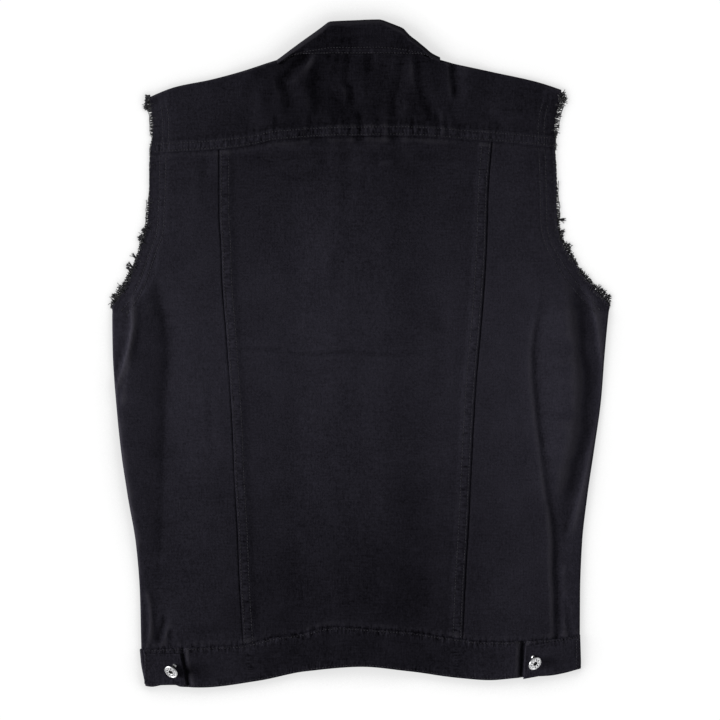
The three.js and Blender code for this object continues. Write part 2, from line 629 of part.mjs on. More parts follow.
// A front button lies face down, its shank up to the bands
const FRONT_BUTTON = table(["r", "z"],
  [0, 0.6], [5.7, 0.5], [6.7, 0], [7.5, 0.7], [6.9, 1.6], [SHANK_RADIUS, 1.8],
  [SHANK_RADIUS, PLACKET_RISE - GAP], [0, PLACKET_RISE - GAP]);

function turnedShape(profile, sides) {
  const outline = profile.map(({ r, z }) => new THREE.Vector2(r, z));
  return new THREE.LatheGeometry(outline, sides).rotateX(Math.PI / 2);
}

// Where each tab button stands, how long its shank is, and which way and how far its cap leans
const TAB_BUTTONS = {
  left: { x: -198.5, y: -334.5, shank: 5.4, lean: 36, towards: 215 },
  right: { x: 184, y: -326, shank: 4.6, lean: 27, towards: 330 },
};
function leaningButton(side) {
  const { x, y, shank: long, lean, towards } = TAB_BUTTONS[side];
  const shank = new THREE.CylinderGeometry(SHANK_RADIUS, SHANK_FOOT, long, SHANK_SIDES);
  shank.rotateX(Math.PI / 2).translate(0, 0, long / 2);
  const heading = THREE.MathUtils.degToRad(towards);
  const axis = new THREE.Vector3(-Math.sin(heading), Math.cos(heading), 0);
  const leaning = new THREE.Matrix4().makeRotationAxis(axis, THREE.MathUtils.degToRad(lean));
  const cap = turnedShape(CAP, CAP_SIDES).applyMatrix4(leaning).translate(0, 0, long - CAP_SEAT);
  return join([cap, shank]).translate(x, y, tabTop(side, x, y) + GAP);
}

function tabTop(side, x, y) {
  const { near, far } = TABS[side];
  const along = (x - near) / ((far[0] + far[1]) / 2 - near);
  return bandTop(x, y) + GAP + TAB_CLOTH + TAB_LIFT * along * along;
}

const frontButton = (y) => turnedShape(FRONT_BUTTON, SHANK_SIDES).translate(0, y, 0);

const FINISHES = {
  denim: { color: 0x1e1d22, roughness: 0.9, metalness: 0 },
  frayed_denim: { color: 0x2a2930, roughness: 0.95, metalness: 0 },
  metal: { color: 0xb9babd, roughness: 0.3, metalness: 1 },
};

const vest = new THREE.Group();
function add(name, finish, geometry) {
  const mesh = new THREE.Mesh(geometry, new THREE.MeshStandardMaterial(FINISHES[finish]));
  mesh.name = name;
  vest.add(mesh);
}

add("back_yoke", "denim", backYoke());
add("back_centre_panel", "denim", centrePanel());
add("back_waistband", "denim", backWaistband());
add("collar", "denim", collar());
for (const side of ["left", "right"]) {
  add(`side_panel_${side}`, "denim", sidePanel(side));
  add(`adjuster_tab_${side}`, "denim", tab(side));
  add(`tab_button_${side}`, "metal", leaningButton(side));
  add(`armhole_fray_${side}`, "frayed_denim", frayedEdge(side));
  add(`front_${side}`, "denim", front(side));
  add(`front_waistband_${side}`, "denim", frontWaistband(side));
}
add("buttonhole_band", "denim", placketBand(PLACKET_HALF, LOW_LAYER));
add("button_band", "denim", placketBand(PLACKET_HALF + PLACKET_LAP, HIGH_LAYER));
for (let i = 0; i < BUTTON_COUNT; i += 1) {
  add(`front_button_${i + 1}`, "metal", frontButton(BUTTON_TOP - i * BUTTON_PITCH));
}

export default vest;
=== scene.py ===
import math

import bmesh
import bpy
import numpy as np
from mathutils import Matrix, Vector


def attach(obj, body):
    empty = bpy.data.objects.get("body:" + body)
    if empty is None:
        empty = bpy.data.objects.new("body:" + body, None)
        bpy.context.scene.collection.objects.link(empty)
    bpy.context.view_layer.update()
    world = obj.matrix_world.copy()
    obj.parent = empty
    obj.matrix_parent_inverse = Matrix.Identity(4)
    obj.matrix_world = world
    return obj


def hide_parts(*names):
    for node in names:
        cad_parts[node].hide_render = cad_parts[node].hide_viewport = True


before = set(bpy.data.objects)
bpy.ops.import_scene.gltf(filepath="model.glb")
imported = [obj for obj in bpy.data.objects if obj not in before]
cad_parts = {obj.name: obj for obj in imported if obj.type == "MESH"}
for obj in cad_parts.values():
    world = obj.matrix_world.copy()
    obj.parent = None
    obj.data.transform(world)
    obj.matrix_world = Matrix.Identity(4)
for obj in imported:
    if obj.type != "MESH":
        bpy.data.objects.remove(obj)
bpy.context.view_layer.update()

# A denim vest lying face down, its back up. Sizes are in millimetres in the frame's own axes,
# +X right, +Y from the hem to the collar, +Z up, and become metres where a mesh is made.
MM = 0.001

# Cloth thickness and the rises of sewn layers
CLOTH = 1.2
COLLAR_CLOTH = 2.0
BAND_CLOTH = 1.7
TAB_CLOTH = 1.4
FRONT_CLOTH = 1.1
FRONT_BAND_CLOTH = 1.6
PLACKET_CLOTH = 1.2
GAP = 0.3
BAND_ROOM = 0.2
FELL_WIDTH = 11.5
FELL_RISE = 0.85
FELL_ENDS = {"panel": (FELL_WIDTH - 3, FELL_WIDTH + 4), "yoke": (FELL_WIDTH - 1, FELL_WIDTH + 2.2)}
SEAM_DIP = 0.75
DIP_BY_YOKE, DIP_BY_WAIST, DIP_BY_PANEL = (0, 2.2), (0, 2.4), (-0.2, 2.2)
PANEL_STARTS, HIDDEN_UNDER, UNDER_BAND = (-0.5, 0), (-0.5, 1.8), (-0.5, 1)
BAND_RISE = 0.9
BAND_PAST = {"left": (1.6, 0), "right": (0.3, 1.7)}
EDGE_ROUND, THICK_ROUND, ROUND_SHARE = 0.9, 1.0, 0.98
UNDER_ROUND, UNDER_TURN = 0.8, 0.6
TUCK = 8
INNER_LOWEST, OUTER_LOWEST = 0.02, 0.03

# Rolled edges at the sides and shoulders
ROLL_STEPS = 12
ROLL_HEIGHT = 4.7
ROLL_TAIL = 8
TAIL_GROWS, TAIL_PARTS = (0.93, 1), (0.35, 0.35, 0.3)
ROLL_REACH = ROLL_HEIGHT / 2
CUT_REACH = 2.45
UNDERARM = (39, 52)

# How the layers lie, as in the solids. A cut edge, and a rolled one, start at a height and swell
# by a second one over a distance.
CUT, ROLL = (2, 4.5, 22), (ROLL_HEIGHT, 1.8, 30)
SHOULDER_FALL = 4
PLACKET_RISE, PLACKET_FLAT, PLACKET_SPREAD, PLACKET_FADE = 3.3, 20, 75, (235, 275)
NECK = {"x": -2, "y": 308, "lift": 2.6, "flat": 110, "spread": 145, "shelter": 30, "half": (50, 85)}
HOLE = {"x": -2, "y": 282, "rx": 62, "ry": 48, "flat": 0.45, "sag": 4.2}
LEAST_ROOM = 2.8
BLEND = 0.35

# Front, hidden under the back
FRONT_INSET, FRONT_LAP, FRONT_START = 11, 4, 150.0
FRONT_UNEVEN, FRONT_EVENED = 0.1, 8
BAND_CLEAR = 0.1
PLACKET_HALF, PLACKET_LAP, PLACKET_TOP, PLACKET_CLEAR = 18, 6, 243, 1
PLACKET_APART, PLACKET_OVER = 1.6, 45
FRONT_TUCK, FRONT_TUCKED = 0.5, (PLACKET_HALF - 1, PLACKET_HALF + 1.5)
BUTTON_TOP, BUTTON_PITCH, BUTTON_COUNT = 230, 110, 5

# Sewing: a stitch's pitch, length and thread, and how far rows lie from the edges they follow
STITCH_PITCH, STITCH_LENGTH, THREAD = 3.1, 2.1, 0.3
ROWS = {"panel": (1.8, 9.6), "yoke": (1.8, 9.4), "armhole": (10.5, 16.8), "collar": (1.3, 6.5)}
EDGE_ROW = 1.8
TAB_ROW, TAB_GROOVE = 2.2, 0.18
SHALLOW = 0.15
JITTER, THREAD_UNEVEN = {"along": 0.15, "up": 0.05, "aside": 0.1}, (0.88, 1.1)
SEWN_IN, SEWN_CLEAR, SEWN_INSIDE, SEWN_APART = 3, 1.5, 4, 1
PANEL_SEWN, BAND_TRIM = (220, -300), 6
SEEDS = {"yoke": 200, "panel": 220, "armhole": 260, "waistband": 300, "tab": 340, "collar": 360,
         "placket": 380}

# A stitch, point by point: place along it, rise and share of the thread's thickness
STITCH_SHAPE = [(-0.5, -0.35, 0.55), (-0.3, 0.12, 0.95), (0, 0.22, 1), (0.3, 0.12, 0.95),
                (0.5, -0.35, 0.55)]

# Gathers beside seams: height, pitch, seed, and how far from the seam and over what half width
GATHERS = {"panel left": (0.13, 4.1, 11, 5, 6), "panel right": (0.13, 4.1, 17, 5, 6),
           "below yoke": (0.16, 6.6, 23, 0, 4), "above waist": (0.3, 7.6, 29, 0, 6.5),
           "side panel": (0.1, 5.2, 31, 0, 4), "yoke edge": (0.3, 6.7, 41, 5.2, 4.2),
           "above yoke edge": (0.28, 6.7, 41, 0, 6), "band top": (0.34, 7.6, 29, 3, 4),
           "band hem": (0.12, 13, 47, 4, 5), "collar edge": (0.12, 6.1, 73, 4, 4)}
PUCKER_DRIFT, PUCKER_DRIFT_PITCH = 2.4, 2.7
PUCKER_UNEVEN, PUCKER_UNEVEN_PITCH = 0.38, 3.3

# Unevenness along a line, and over a surface: size, pitch and seed
RIPPLES = {"dip": [(0.3, 34, 33)], "side panel": [(0.45, 2.3, 61), (0.35, 7.1, 62)],
           "yoke": [(0.3, 2.1, 63)], "fringe place": [(0.6, 1.7, 95)],
           "fringe reach": [(0.42, 1.6, 96)], "warp height": [(0.4, 5, 8)]}
MOTTLES = {"back": [(0.28, 47, 1), (0.13, 19, 2), (0.06, 8, 3)],
           "waistband": [(0.35, 16, 5), (0.35, 38, 6)], "tab": [(0.18, 9, 8)],
           "collar": [(0.15, 12, 9)], "front": [(0.1, 30, 7)]}
DOTS, TILE = 256, 64

# Strips beside seams: height, how far from the seam, and half width. The dye has rubbed off some,
# and the stitching crinkles others.
RUBBED = {"yoke": (0.3, 5.8, 4), "armhole": (0.9, 0, 1.4)}
RUBBED_ABOVE = (46, 56)
CRINKLED = {"yoke": (0.75, 5.5, 6), "waist": (1, -2, 4.5), "hem": (0.5, 4, 4),
            "panel": (1, -5.5, 5), "armhole": (0.4, 13, 5)}
CRINKLED_ABOVE, CRINKLED_BELOW_YOKE = (30, 50), (-3, 0)
BESIDE_PANEL_SEAM = (0.5, 13, 4)
SEAM_CROSSING = (0.35, -6, 6.5)

# How much the armhole's slant shortens a distance across, and about which height
ARMHOLE_SLANT = (0.3, 80, 30)
ARMHOLE_GROOVE = (0.24, 1.4)
ARMHOLE_LOW, ARMHOLE_NEAR = 20, 60
ARMHOLE_GROOVED, ARMHOLE_SEWN = (245, 46), (258, 44)

# Points of the meshes, with the lanes that lie close to an edge or a seam
PANEL_STEPS, CENTRE_LANES, SIDE_LANES = 292, 98, 56
CENTRE_NEAR = [0, 0.25, 0.6, 1.1, 1.8, 2.6, 3.6, 4.8, 6.2, 7.4, 8.2, 9.2, 10.4, 11.6, 12.6, 14, 16]
SIDE_NEAR = [-TUCK, -4, -1.5, -0.6, 0, 0.6, 1.3, 2.2, 3.4, 5, 7]
YOKE_ROWS, YOKE_COLUMNS = 46, 276
YOKE_NEAR = [0, 0.2, 0.5, 0.9, 1.4, 2.2, 3.2, 4.4, 5.8, 7.2, 8.4, 9.6, 10.8, 11.8, 12.8, 14.2, 16]
BAND_LANES, BAND_COLUMNS = 18, 300
BAND_NEAR = [0, 0.2, 0.5, 0.9, 1.4, 2, 2.8, 3.8, 5.2, 7]
TAB_NEAR = [0, 0.2, 0.5, 0.9, 1.4, 2, 2.8]
COLLAR_ROWS, COLLAR_COLUMNS, COLLAR_TAIL_ROWS, COLLAR_CROWDING = 26, 150, 10, 1.35
FRONT_ROWS, FRONT_COLUMNS = 130, 60
PLACKET_ROWS = 120
PLACKET_NEAR, PLACKET_GAP, PLACKET_LANES = [0, 0.3, 0.8, 1.6, 2.6], 5, 9
PLACKET_SEWN = (3, 0.2, -0.25)
FRONT_BAND_COLUMNS = 130
FRONT_BAND_NEAR, FRONT_BAND_LANES = [0, 0.006, 0.02, 0.045], (0.08, 12)
ARMHOLE_POINTS, YOKE_SEWN_POINTS, PANEL_SEWN_POINTS = 120, 500, 600
SETTLINGS, FRONT_SETTLINGS = 5, 6

# Outline of the cloth: y, left x, right x
SIDES = [(-349, -225, 228), (-322, -229, 230.5), (-250, -231, 231), (-200, -235, 233),
         (-150, -243.5, 238.5), (-99, -251, 246), (-49, -256, 253), (2, -259.5, 257),
         (39, -260, 260.5), (48, -260, 261.5), (56, -254, 257), (69, -246, 245),
         (86, -238.5, 231), (102, -233, 220.5), (119, -227, 211), (128, -223.5, 208),
         (136, -222.5, 206.7), (153, -221.8, 206.3), (172, -220.8, 205.8), (203, -220.5, 205),
         (215, -219.2, 204.2), (226, -217.6, 204), (237, -217, 203.7), (268, -220.5, 210)]

# Shoulder folds with the neck seam between them, and the seams across: x, y
TOP = [(-227, 266), (-191, 280), (-158, 287), (-124, 296), (-90, 307), (-76, 311), (-67, 314),
       (-57, 318), (-42, 319), (44, 319), (57, 317.5), (65, 314.5), (71, 312), (86, 307.5),
       (103, 303), (136, 296), (178, 286), (212, 275)]
YOKE_SEAM = [(-218, 210), (-178, 212), (-147, 214), (-108, 219), (-91, 223), (-65, 225),
             (-34, 227), (42, 228), (112, 224), (165, 220), (205, 216)]
WAIST_SEAM = [(-229, -310), (-178, -308), (-124, -305.6), (-107, -302), (-92, -298), (-59, -293),
              (-36, -287), (-19, -286), (8, -288), (50, -291), (90, -297), (136, -302),
              (174, -301), (215, -298), (230, -295)]
HEM = [(-226, -348.4), (-218, -349.4), (-207, -347.6), (-194, -347.4), (-188, -349.2),
       (-166, -350), (-107, -343), (-57, -333), (2, -328), (52, -333), (103, -340), (136, -342.3),
       (164, -340), (182, -338.6), (199, -337.6), (214, -335), (229, -331)]
YOKE_ENDS, YOKE_BLEND = (-219, 207), 70
NECK_SIDES, NECK_INSET = ((-76, -66), (64, 74)), 0.3
BAND_END, BAND_WIDTH, BAND_HEM_SHIFT = 230, 42, 40

# Seams between the centre and the side panels: y, left x, right x
PANEL_SEAMS = [(-301, -122, 107), (-234, -126, 110), (-183, -128, 113), (-133, -131, 115.5),
               (-82, -133, 118), (-32, -136, 121), (25, -140, 126), (77, -144, 130),
               (112, -145, 132), (148, -147, 133), (175, -147, 134), (225, -147, 138)]
FRONT_NECKLINE = [(-74, 299), (-63, 287), (-47, 269), (-29, 254), (-8, 243)]

# Collar from left to right: x, the leaf's low edge, its fold, the end turned under it, and the
# heights of the fold and of the underside
COLLAR = [(-87, 302.6, 308, 298, 10, 0.1), (-83, 304.6, 310.8, 298, 10.4, 0.1),
          (-79, 307.2, 313.8, 299, 10.8, 0.1), (-74, 310.6, 317.6, 301, 11.4, 0.1),
          (-68, 312.7, 322, 304, 11.8, 0.1), (-59, 313.6, 328.6, 309, 12, 0.1),
          (-48, 313.7, 336.4, 314, 12, 0.1), (-40, 313.7, 342.2, 317, 12, 0.6),
          (-35.5, 313.7, 345.6, 318.5, 11.9, 1.6), (-33, 313.7, 347.3, 319.2, 11.9, 2.4),
          (-30, 313.7, 348, 319.9, 11.8, 3.2), (-17, 313.7, 348.7, 319.4, 11.6, 3.4),
          (-4, 313.7, 349.2, 319.4, 11.6, 3.4), (9, 313.7, 349.8, 319.4, 11.6, 3.4),
          (20, 313.7, 350, 319.4, 11.6, 3.4), (24, 313.7, 349.2, 319.4, 11.6, 3.3),
          (30, 313.7, 347, 319.4, 11.8, 2.8), (38, 313.7, 344, 317.6, 12, 0.8),
          (45, 313.7, 341, 314, 12, 0.1), (49, 313.7, 337, 312, 12, 0.1),
          (52, 313.7, 333.8, 310, 12, 0.1), (60, 313.6, 327.6, 306, 11.8, 0.1),
          (68, 313.3, 321, 302, 11.4, 0.1), (75, 310.4, 315.2, 299, 10.6, 0.1),
          (80, 306.8, 312.4, 298, 10.2, 0.1), (84, 304.4, 310.6, 298, 10, 0.1)]
COLLAR_LIFT = 0.5
COLLAR_WAVES = {"height": 0.3, "pitch": 31, "seed": 71, "reach": 30}
COLLAR_RESTS, COLLAR_SMOOTHING, COLLAR_TRIM = (-6, 0, 6), 6, (6, 16)
UNDER_YOKE, SEWN_TO_YOKE = 319, 318.0
LEAF_SHORTEST, TAIL_SHORTEST, TAIL_RISES = 1, 0.5, (0.4, 1)
WING = [(-83, 304), (-63, 309), (-46, 317), (-38, 306), (-27, 277), (-8, 254), (-10, 243),
        (-40, 212), (-74, 262)]
WING_THICK, WING_LOW, WING_ROUND = 2, 0.1, 0.7

# Folds: depth down (a ridge is negative), half widths left and right of the path, how sharp its
# bottom is from 0 to 1, and the path
FOLDS = [
    (2.3, 30, 85, 0.9, [(-214, 104), (-209, 60), (-204, 30), (-200, 4), (-203, -42), (-206, -80),
                        (-207, -122), (-209, -185), (-211, -243), (-214, -284)]),
    (1.5, 15, 42, 0.8, [(-217, 108), (-212, 60), (-205, 37), (-202, 19), (-200, 6), (-202, -9),
                        (-203.5, -25), (-203, -34), (-204, -57), (-206, -100), (-208, -150)]),
    (-3.3, 13, 42, 0.4, [(-227, 74), (-234, 44), (-236, 25), (-238.5, 6), (-241, -9), (-244, -24),
                         (-248, -45), (-249, -63), (-248, -90), (-244, -120), (-238, -160),
                         (-231, -206), (-226, -250)]),
    (-2.7, 4.5, 8, 0.5, [(-239, 66), (-238.5, 44), (-238.5, 25), (-242, 6), (-246, -9), (-250, -20),
                       (-253, -30), (-256, -52)]),
    (-1.2, 6, 5, 0.2, [(-226, -240), (-220, -265), (-219, -293), (-223, -310)]),
    (1.5, 6, 6, 0.4, [(-203, -272), (-206, -284), (-212, -304)]),
    (1.0, 5, 5, 0.4, [(-198, -288), (-199, -310)]),
    (0.5, 10, 10, 0, [(-178, -284), (-160, -290), (-134, -288)]),
    (6.5, 22, 9, 0.7, [(225, 80), (238, 47), (244.5, 0), (247, -20), (245.5, -56), (241, -80),
                       (233, -109), (226, -143), (213, -200)]),
    (-3.4, 44, 23, 0, [(208, 90), (217, 50), (222, 0), (224, -30), (223, -70), (217, -110),
                       (207, -160)]),
    (1.0, 2.5, 34, 0.7, [(194, 80), (189, 47), (183, 9), (183, -12), (187, -62), (192, -101),
                       (197, -143), (203, -182), (206, -238), (206, -300)]),
    (1.6, 6, 10, 0.3, [(204, -200), (205, -230), (207, -262), (207, -296), (206, -330)]),
    (0.8, 5, 5, 0.3, [(215, -252), (218, -276), (221, -300), (223, -320)]),
    (-0.6, 18, 4, 0.2, [(189, 70), (180, 5), (183, -62), (193, -143), (200, -190), (202, -290)]),
    (2.3, 11, 17, 0.3, [(-50, 326), (-69, 305), (-77, 294), (-81, 286), (-77, 274), (-75, 261),
                        (-77, 248)]),
    (1.3, 6, 11, 0.2, [(-52, 322), (-62, 308), (-70, 299), (-77, 290), (-79, 282)]),
    (0.7, 13, 13, 0, [(-99, 300), (-115, 275), (-117, 250), (-120, 230)]),
    (1.1, 11, 15, 0.1, [(-41, 324), (-43, 302), (-48, 284), (-45, 266), (-47, 236), (-48, 215)]),
    (0.4, 4, 6, 0.2, [(-33, 318), (-32, 306)]),
    (0.4, 4, 6, 0.2, [(-24, 318), (-23, 304)]),
    (1.4, 8, 13, 0.3, [(-13, 324), (-13, 302), (-15, 287), (-10, 278), (-8, 266), (-4, 256)]),
    (0.9, 7, 10, 0.2, [(-5, 258), (-1, 249), (0, 236), (-2, 216)]),
    (0.8, 7, 9, 0.1, [(9, 322), (9, 292)]),
    (0.4, 3, 3, 0.2, [(13, 318), (13, 308)]),
    (1.3, 10, 13, 0.3, [(49, 324), (43, 299), (41, 287), (36, 272), (36, 255), (36, 234), (37, 214)]),
    (1.1, 9, 13, 0.3, [(60, 324), (61, 299), (64, 278), (68, 266), (74, 252), (77, 237)]),
    (2.3, 7, 14, 0.6, [(96, 322), (98, 304), (98, 290), (100, 278), (100, 264)]),
    (0.7, 10, 13, 0.1, [(96, 268), (99, 249), (106, 237), (108, 222)]),
    (0.7, 10, 12, 0.2, [(127, 256), (142, 245), (151, 234)]),
    (0.5, 4, 5, 0.2, [(-88, 252), (-89, 228)]),
    (0.5, 4, 5, 0.2, [(-53, 252), (-53, 228)]),
    (0.5, 4, 5, 0.2, [(-26, 252), (-27, 228)]),
    (0.5, 4, 5, 0.2, [(19, 250), (18, 228)]),
    (0.5, 4, 5, 0.2, [(55, 250), (55, 226)]),
    (0.6, 4, 4, 0.2, [(80, 256), (82, 226)]),
    (0.6, 4, 4, 0.2, [(90, 254), (92, 226)]),
    (0.7, 4, 4, 0.4, [(-140, 5), (-77, 4), (-67, 0), (-39, 0), (-15, 2), (16, 0), (38, 0), (84, 4)]),
    (0.45, 14, 14, 0, [(-16, 226), (-15, 180), (-20, 120)]),
    (0.4, 12, 12, 0, [(-24, 110), (-24, 60)]),
    (0.5, 14, 14, 0, [(82, 66), (84, 0), (80, -60)]),
    (0.4, 8, 8, 0, [(-157, -23), (-157, -62), (-154, -111)]),
    (0.7, 10, 16, 0, [(-150, 202), (-60, 207), (40, 208), (130, 204)]),
    (0.2, 5, 5, 0.2, [(-88, 187), (-36, 181)]),
    (-0.4, 9, 9, 0, [(-171, 196), (-171, 150)]),
    (0.45, 10, 10, 0, [(-160, 208), (-163, 180)])]
FOLD_FADE, FOLD_PAST = 0.22, 0.02
FOLD_POWER = 2.2
FOLD_UNEVEN, FOLD_PITCH, FOLD_SEED = 0.35, 17, 40

# Adjuster tabs: near is the end sewn into the side, far the free end. A tab's mesh has its length
# or width, the lanes' inset as a share of it, and their count.
TABS = {"left": {"near": -226, "far": (-188.5, -182), "top": (-314, -314), "bottom": (-346, -347)},
        "right": {"near": 229.5, "far": (173, 171), "top": (-297.5, -306.5), "bottom": (-330.5, -341)}}
TAB_ALONG, TAB_ACROSS = (42, 0.1, 34), (33, 0.13, 22)
TAB_LIFT, TAB_TURN, TAB_PAST = 0.3, 0.95, 1.1
TAB_PULL, TAB_PULL_AREA = 0.8, 42
TAB_SLOT = {"depth": {"left": 1.3, "right": 2.2}, "half": 2.1, "off": 1.8, "swell": 0.8,
            "past": (3, 7, 26)}

# Where each tab button stands, how far and which way it leans, and how far its flange has slipped
TAB_BUTTONS = {"left": {"at": (-197.2, -332.5), "lean": 44, "towards": 231, "slip": (-1.3, 0.2)},
               "right": {"at": (182.6, -323.7), "lean": 42, "towards": 319, "slip": (3.6, 1.6)}}

# Turned profiles of the buttons, from the axis and back to it: radius and height
SHANK = 9.2
CAP = [(0, -0.8), (5.0, -0.6), (5.8, -0.2), (6.6, 0), (7.2, 0.3), (7.5, 0.8), (7.45, 1.3),
       (7.1, 1.75), (6.7, 1.9), (6.3, 1.82), (5.95, 1.55), (5.6, 1.45), (4.4, 1.48), (3.4, 1.5),
       (2.9, 1.56), (2.5, 1.54), (2.4, 1.2), (2.35, -0.2), (0.9, -0.4), (0, -0.4)]
BACK_CAP = [(0, 0.75), (1.2, 0.75), (1.6, 0.35), (2.2, 0.3), (2.6, 0.6), (5.2, 0.6), (5.8, 0.35),
            (6.6, 0.02), (7.2, 0.15), (7.5, 0.6), (7.3, 1.2), (6.8, 1.6), (3, 1.75), (2.4, 2.0),
            (2.4, 3.0), (0, 3.0)]
LEG = [(0, 0.2), (1.8, 0.2), (1.7, 0.9), (1.7, 1.5), (2.0, SHANK), (0, SHANK)]
FLANGE = [(0, -0.2), (2.1, -0.2), (2.3, 0.3), (2.1, 1.0), (1.5, 1.6), (0.8, 1.9), (0, 2.0)]
TICK = [(0, 0), (0.34, 0.0), (0.3, 0.16), (0.14, 0.24), (0, 0.25)]
TICKS, TICK_AT = 9, (4.4, 0, 1.5)
TICK_LONG, TICK_SHORT = (3.2, 2.1, 0.7), (2.0, 2.1, 0.7)
CAP_SINK = 0.6
CAP_HOLE = {"reach": 2.45, "below": 1.5}

# Dark print on the buttons' ticks and painted shade on the leg, from 0 to 1, and where the flange is
# painted in the cap's shadow
TICK_PRINT, LEG_PAINTED_SHADE = 0.93, 0.95
FLANGE_SHADE = (-0.9, 0.1)

# Fringe of each cut edge, going down: y, how far it reaches straight out to the side, threads per
# millimetre, and how tangled they are, from a comb of weft at 0 to fuzz at 1
FRINGE = {
    "left": [(271, 4.8, 5, 0.3), (268, 5.8, 5, 0.3), (262, 6.4, 5, 0.3), (259, 7.8, 5, 0.3),
             (257, 5.5, 4, 0.4), (254, 3.6, 1.6, 0.2), (240, 4.2, 1.5, 0.15), (232, 3.3, 1.6, 0.2),
             (226, 1.2, 2, 0.5), (213, 2.4, 2.2, 0.7), (207, 0.8, 2, 0.5), (172, 0.8, 2, 0.5),
             (158, 1.8, 1.6, 0.3), (144, 3.2, 1.3, 0.15), (134, 3.4, 2, 0.3), (128, 5.4, 3, 0.6),
             (119, 5.6, 3, 0.6), (113, 2.8, 3, 0.6), (96, 2.3, 3, 0.6), (90, 3.4, 3, 0.6),
             (84, 5, 3, 0.7), (78, 4.4, 3, 0.7), (73, 6.2, 3, 0.7), (67, 7.3, 3, 0.7),
             (61, 8.5, 3, 0.6), (56, 10.8, 3, 0.5), (51, 5, 3, 0.6), (48, 2.5, 3, 0.6)],
    "right": [(274, 2.5, 3, 0.7), (271, 6.2, 3, 0.7), (266, 7.6, 3, 0.7), (262, 5.6, 1.8, 0.3),
              (250, 5.9, 1.2, 0.15), (237, 5.8, 1.6, 0.3), (231, 4, 2.5, 0.5), (225, 1.9, 3, 0.6),
              (217, 2.4, 3, 0.7), (212, 0.8, 2, 0.5), (195, 1.1, 2, 0.5), (182, 1.4, 2, 0.4),
              (176, 2, 1.6, 0.2), (156, 2.9, 1.3, 0.15), (145, 3.7, 1.4, 0.2), (135, 3.6, 3, 0.6),
              (129, 2.8, 3, 0.6), (123, 5.2, 3, 0.6), (117, 2.2, 3, 0.7), (113, 6, 3, 0.7),
              (107, 6.4, 3, 0.7), (102, 5.3, 3, 0.7), (90, 3.2, 3, 0.7), (82, 4.8, 3, 0.7),
              (72, 4.4, 3, 0.7), (67, 5.6, 3, 0.7), (64, 9.4, 3, 0.6), (60, 10.4, 3, 0.6),
              (56, 8.6, 3, 0.6), (52, 4.6, 3, 0.6), (49, 2, 3, 0.6)]}
FRINGE_FULLNESS, FRINGE_LONG, FRINGE_ACROSS = 1.5, (0.5, 1), 0.5
INNER_THREADS = 0.1
THREAD_POINTS = 8
YARN, YARN_UNEVEN, YARN_TIP = 0.45, (0.7, 1.15), 0.75
ROOT, ROOT_DEPTH, THREAD_LOWEST = 0.8, 0.9, 0.5
INNER_LIFT, INNER_INSET = 0.15, (0.5, 4)
CUT_EDGE, CUT_INSET = (40, 280, 961), 2
FRINGE_PLACES = 2400

# How a thread bends: what it does at least, and what its tangle adds
CURL, WANDER, BOB = (0.02, 0.08), (0.04, 0.16), (0.08, 0.2)
SCATTER, FOLLOWING = (0.05, 0.5), (0.2, 1.4)
DROOP, RISE_SHARE = (-0.2, 0.1), 0.4
FRAY_SEED = {"left": 90, "right": 91}

# Threads still lying along the edge: y from and to, distance outside it
WARPS = {"left": [(255, 228, 3.2), (160, 136, 2.6)],
         "right": [(262, 246, 5.6), (246, 234, 5.0), (180, 158, 2.2), (158, 143, 3.2)]}
WARP_PIECE, WARP_PAST, WARP_DEPTH = 7, (-0.5, 1.5), 0.8
WARP_SWAY, WARP_SWAY_PITCH = 0.5, 3.5

# Tufts that stand out furthest: y, length and heading from straight out
SPIKES = {"left": [(128, 6.5, 0.3), (120, 7.5, 0.3), (98, 8.5, 0.8), (84, 10.5, 0.9), (88, 10, 0.8),
                   (260, 8.8, 0.0), (55, 9, 0.9)],
          "right": [(141, 9.5, -0.1), (127, 7.5, 0.2), (125, 5.5, 0.8), (267, 9, 0.0),
                    (249, 6.8, 0.1), (113, 7.5, 0.1), (57, 8, 0.5)]}
SPIKE_THREADS, SPIKE_ROOT, SPIKE_LONG, SPIKE_TANGLE = 14, 1.5, (0.7, 1.05), 0.12

# Painted light, falling off from just below the middle towards the collar and the hem, from -1 to 1:
# y, down the middle, down the sides, and what the right side has more
PAINTED_LIGHT = [(-349, -0.78, 0.1, 0.55), (-300, -0.75, 0.1, 0.45), (-259, -0.8, 0.12, 0.55),
        (-175, -0.17, 0.45, 0.5), (-91, 0.43, 0.9, 0.5), (-7, 0.81, 1.12, 0.45),
        (60, 0.7, 0.95, 0.45), (140, 0.19, 0.45, 0.5), (187, -0.15, 0.2, 0.4),
        (212, -0.35, 0.1, 0.2), (230, -1.0, 0.07, -0.3), (260, -1.17, 0.05, -0.45),
        (300, -1.15, 0, -0.3), (350, -1.1, 0, -0.25)]
PAINTED_LIGHT_MIDDLE, PAINTED_LIGHT_HALF, PAINTED_LIGHT_RIGHT = -14, (50, 175), (110, 180)
WEAR_AND_HIGHLIGHT_REACH, WEAR_AND_HIGHLIGHT_SCALE = 3, 0.6

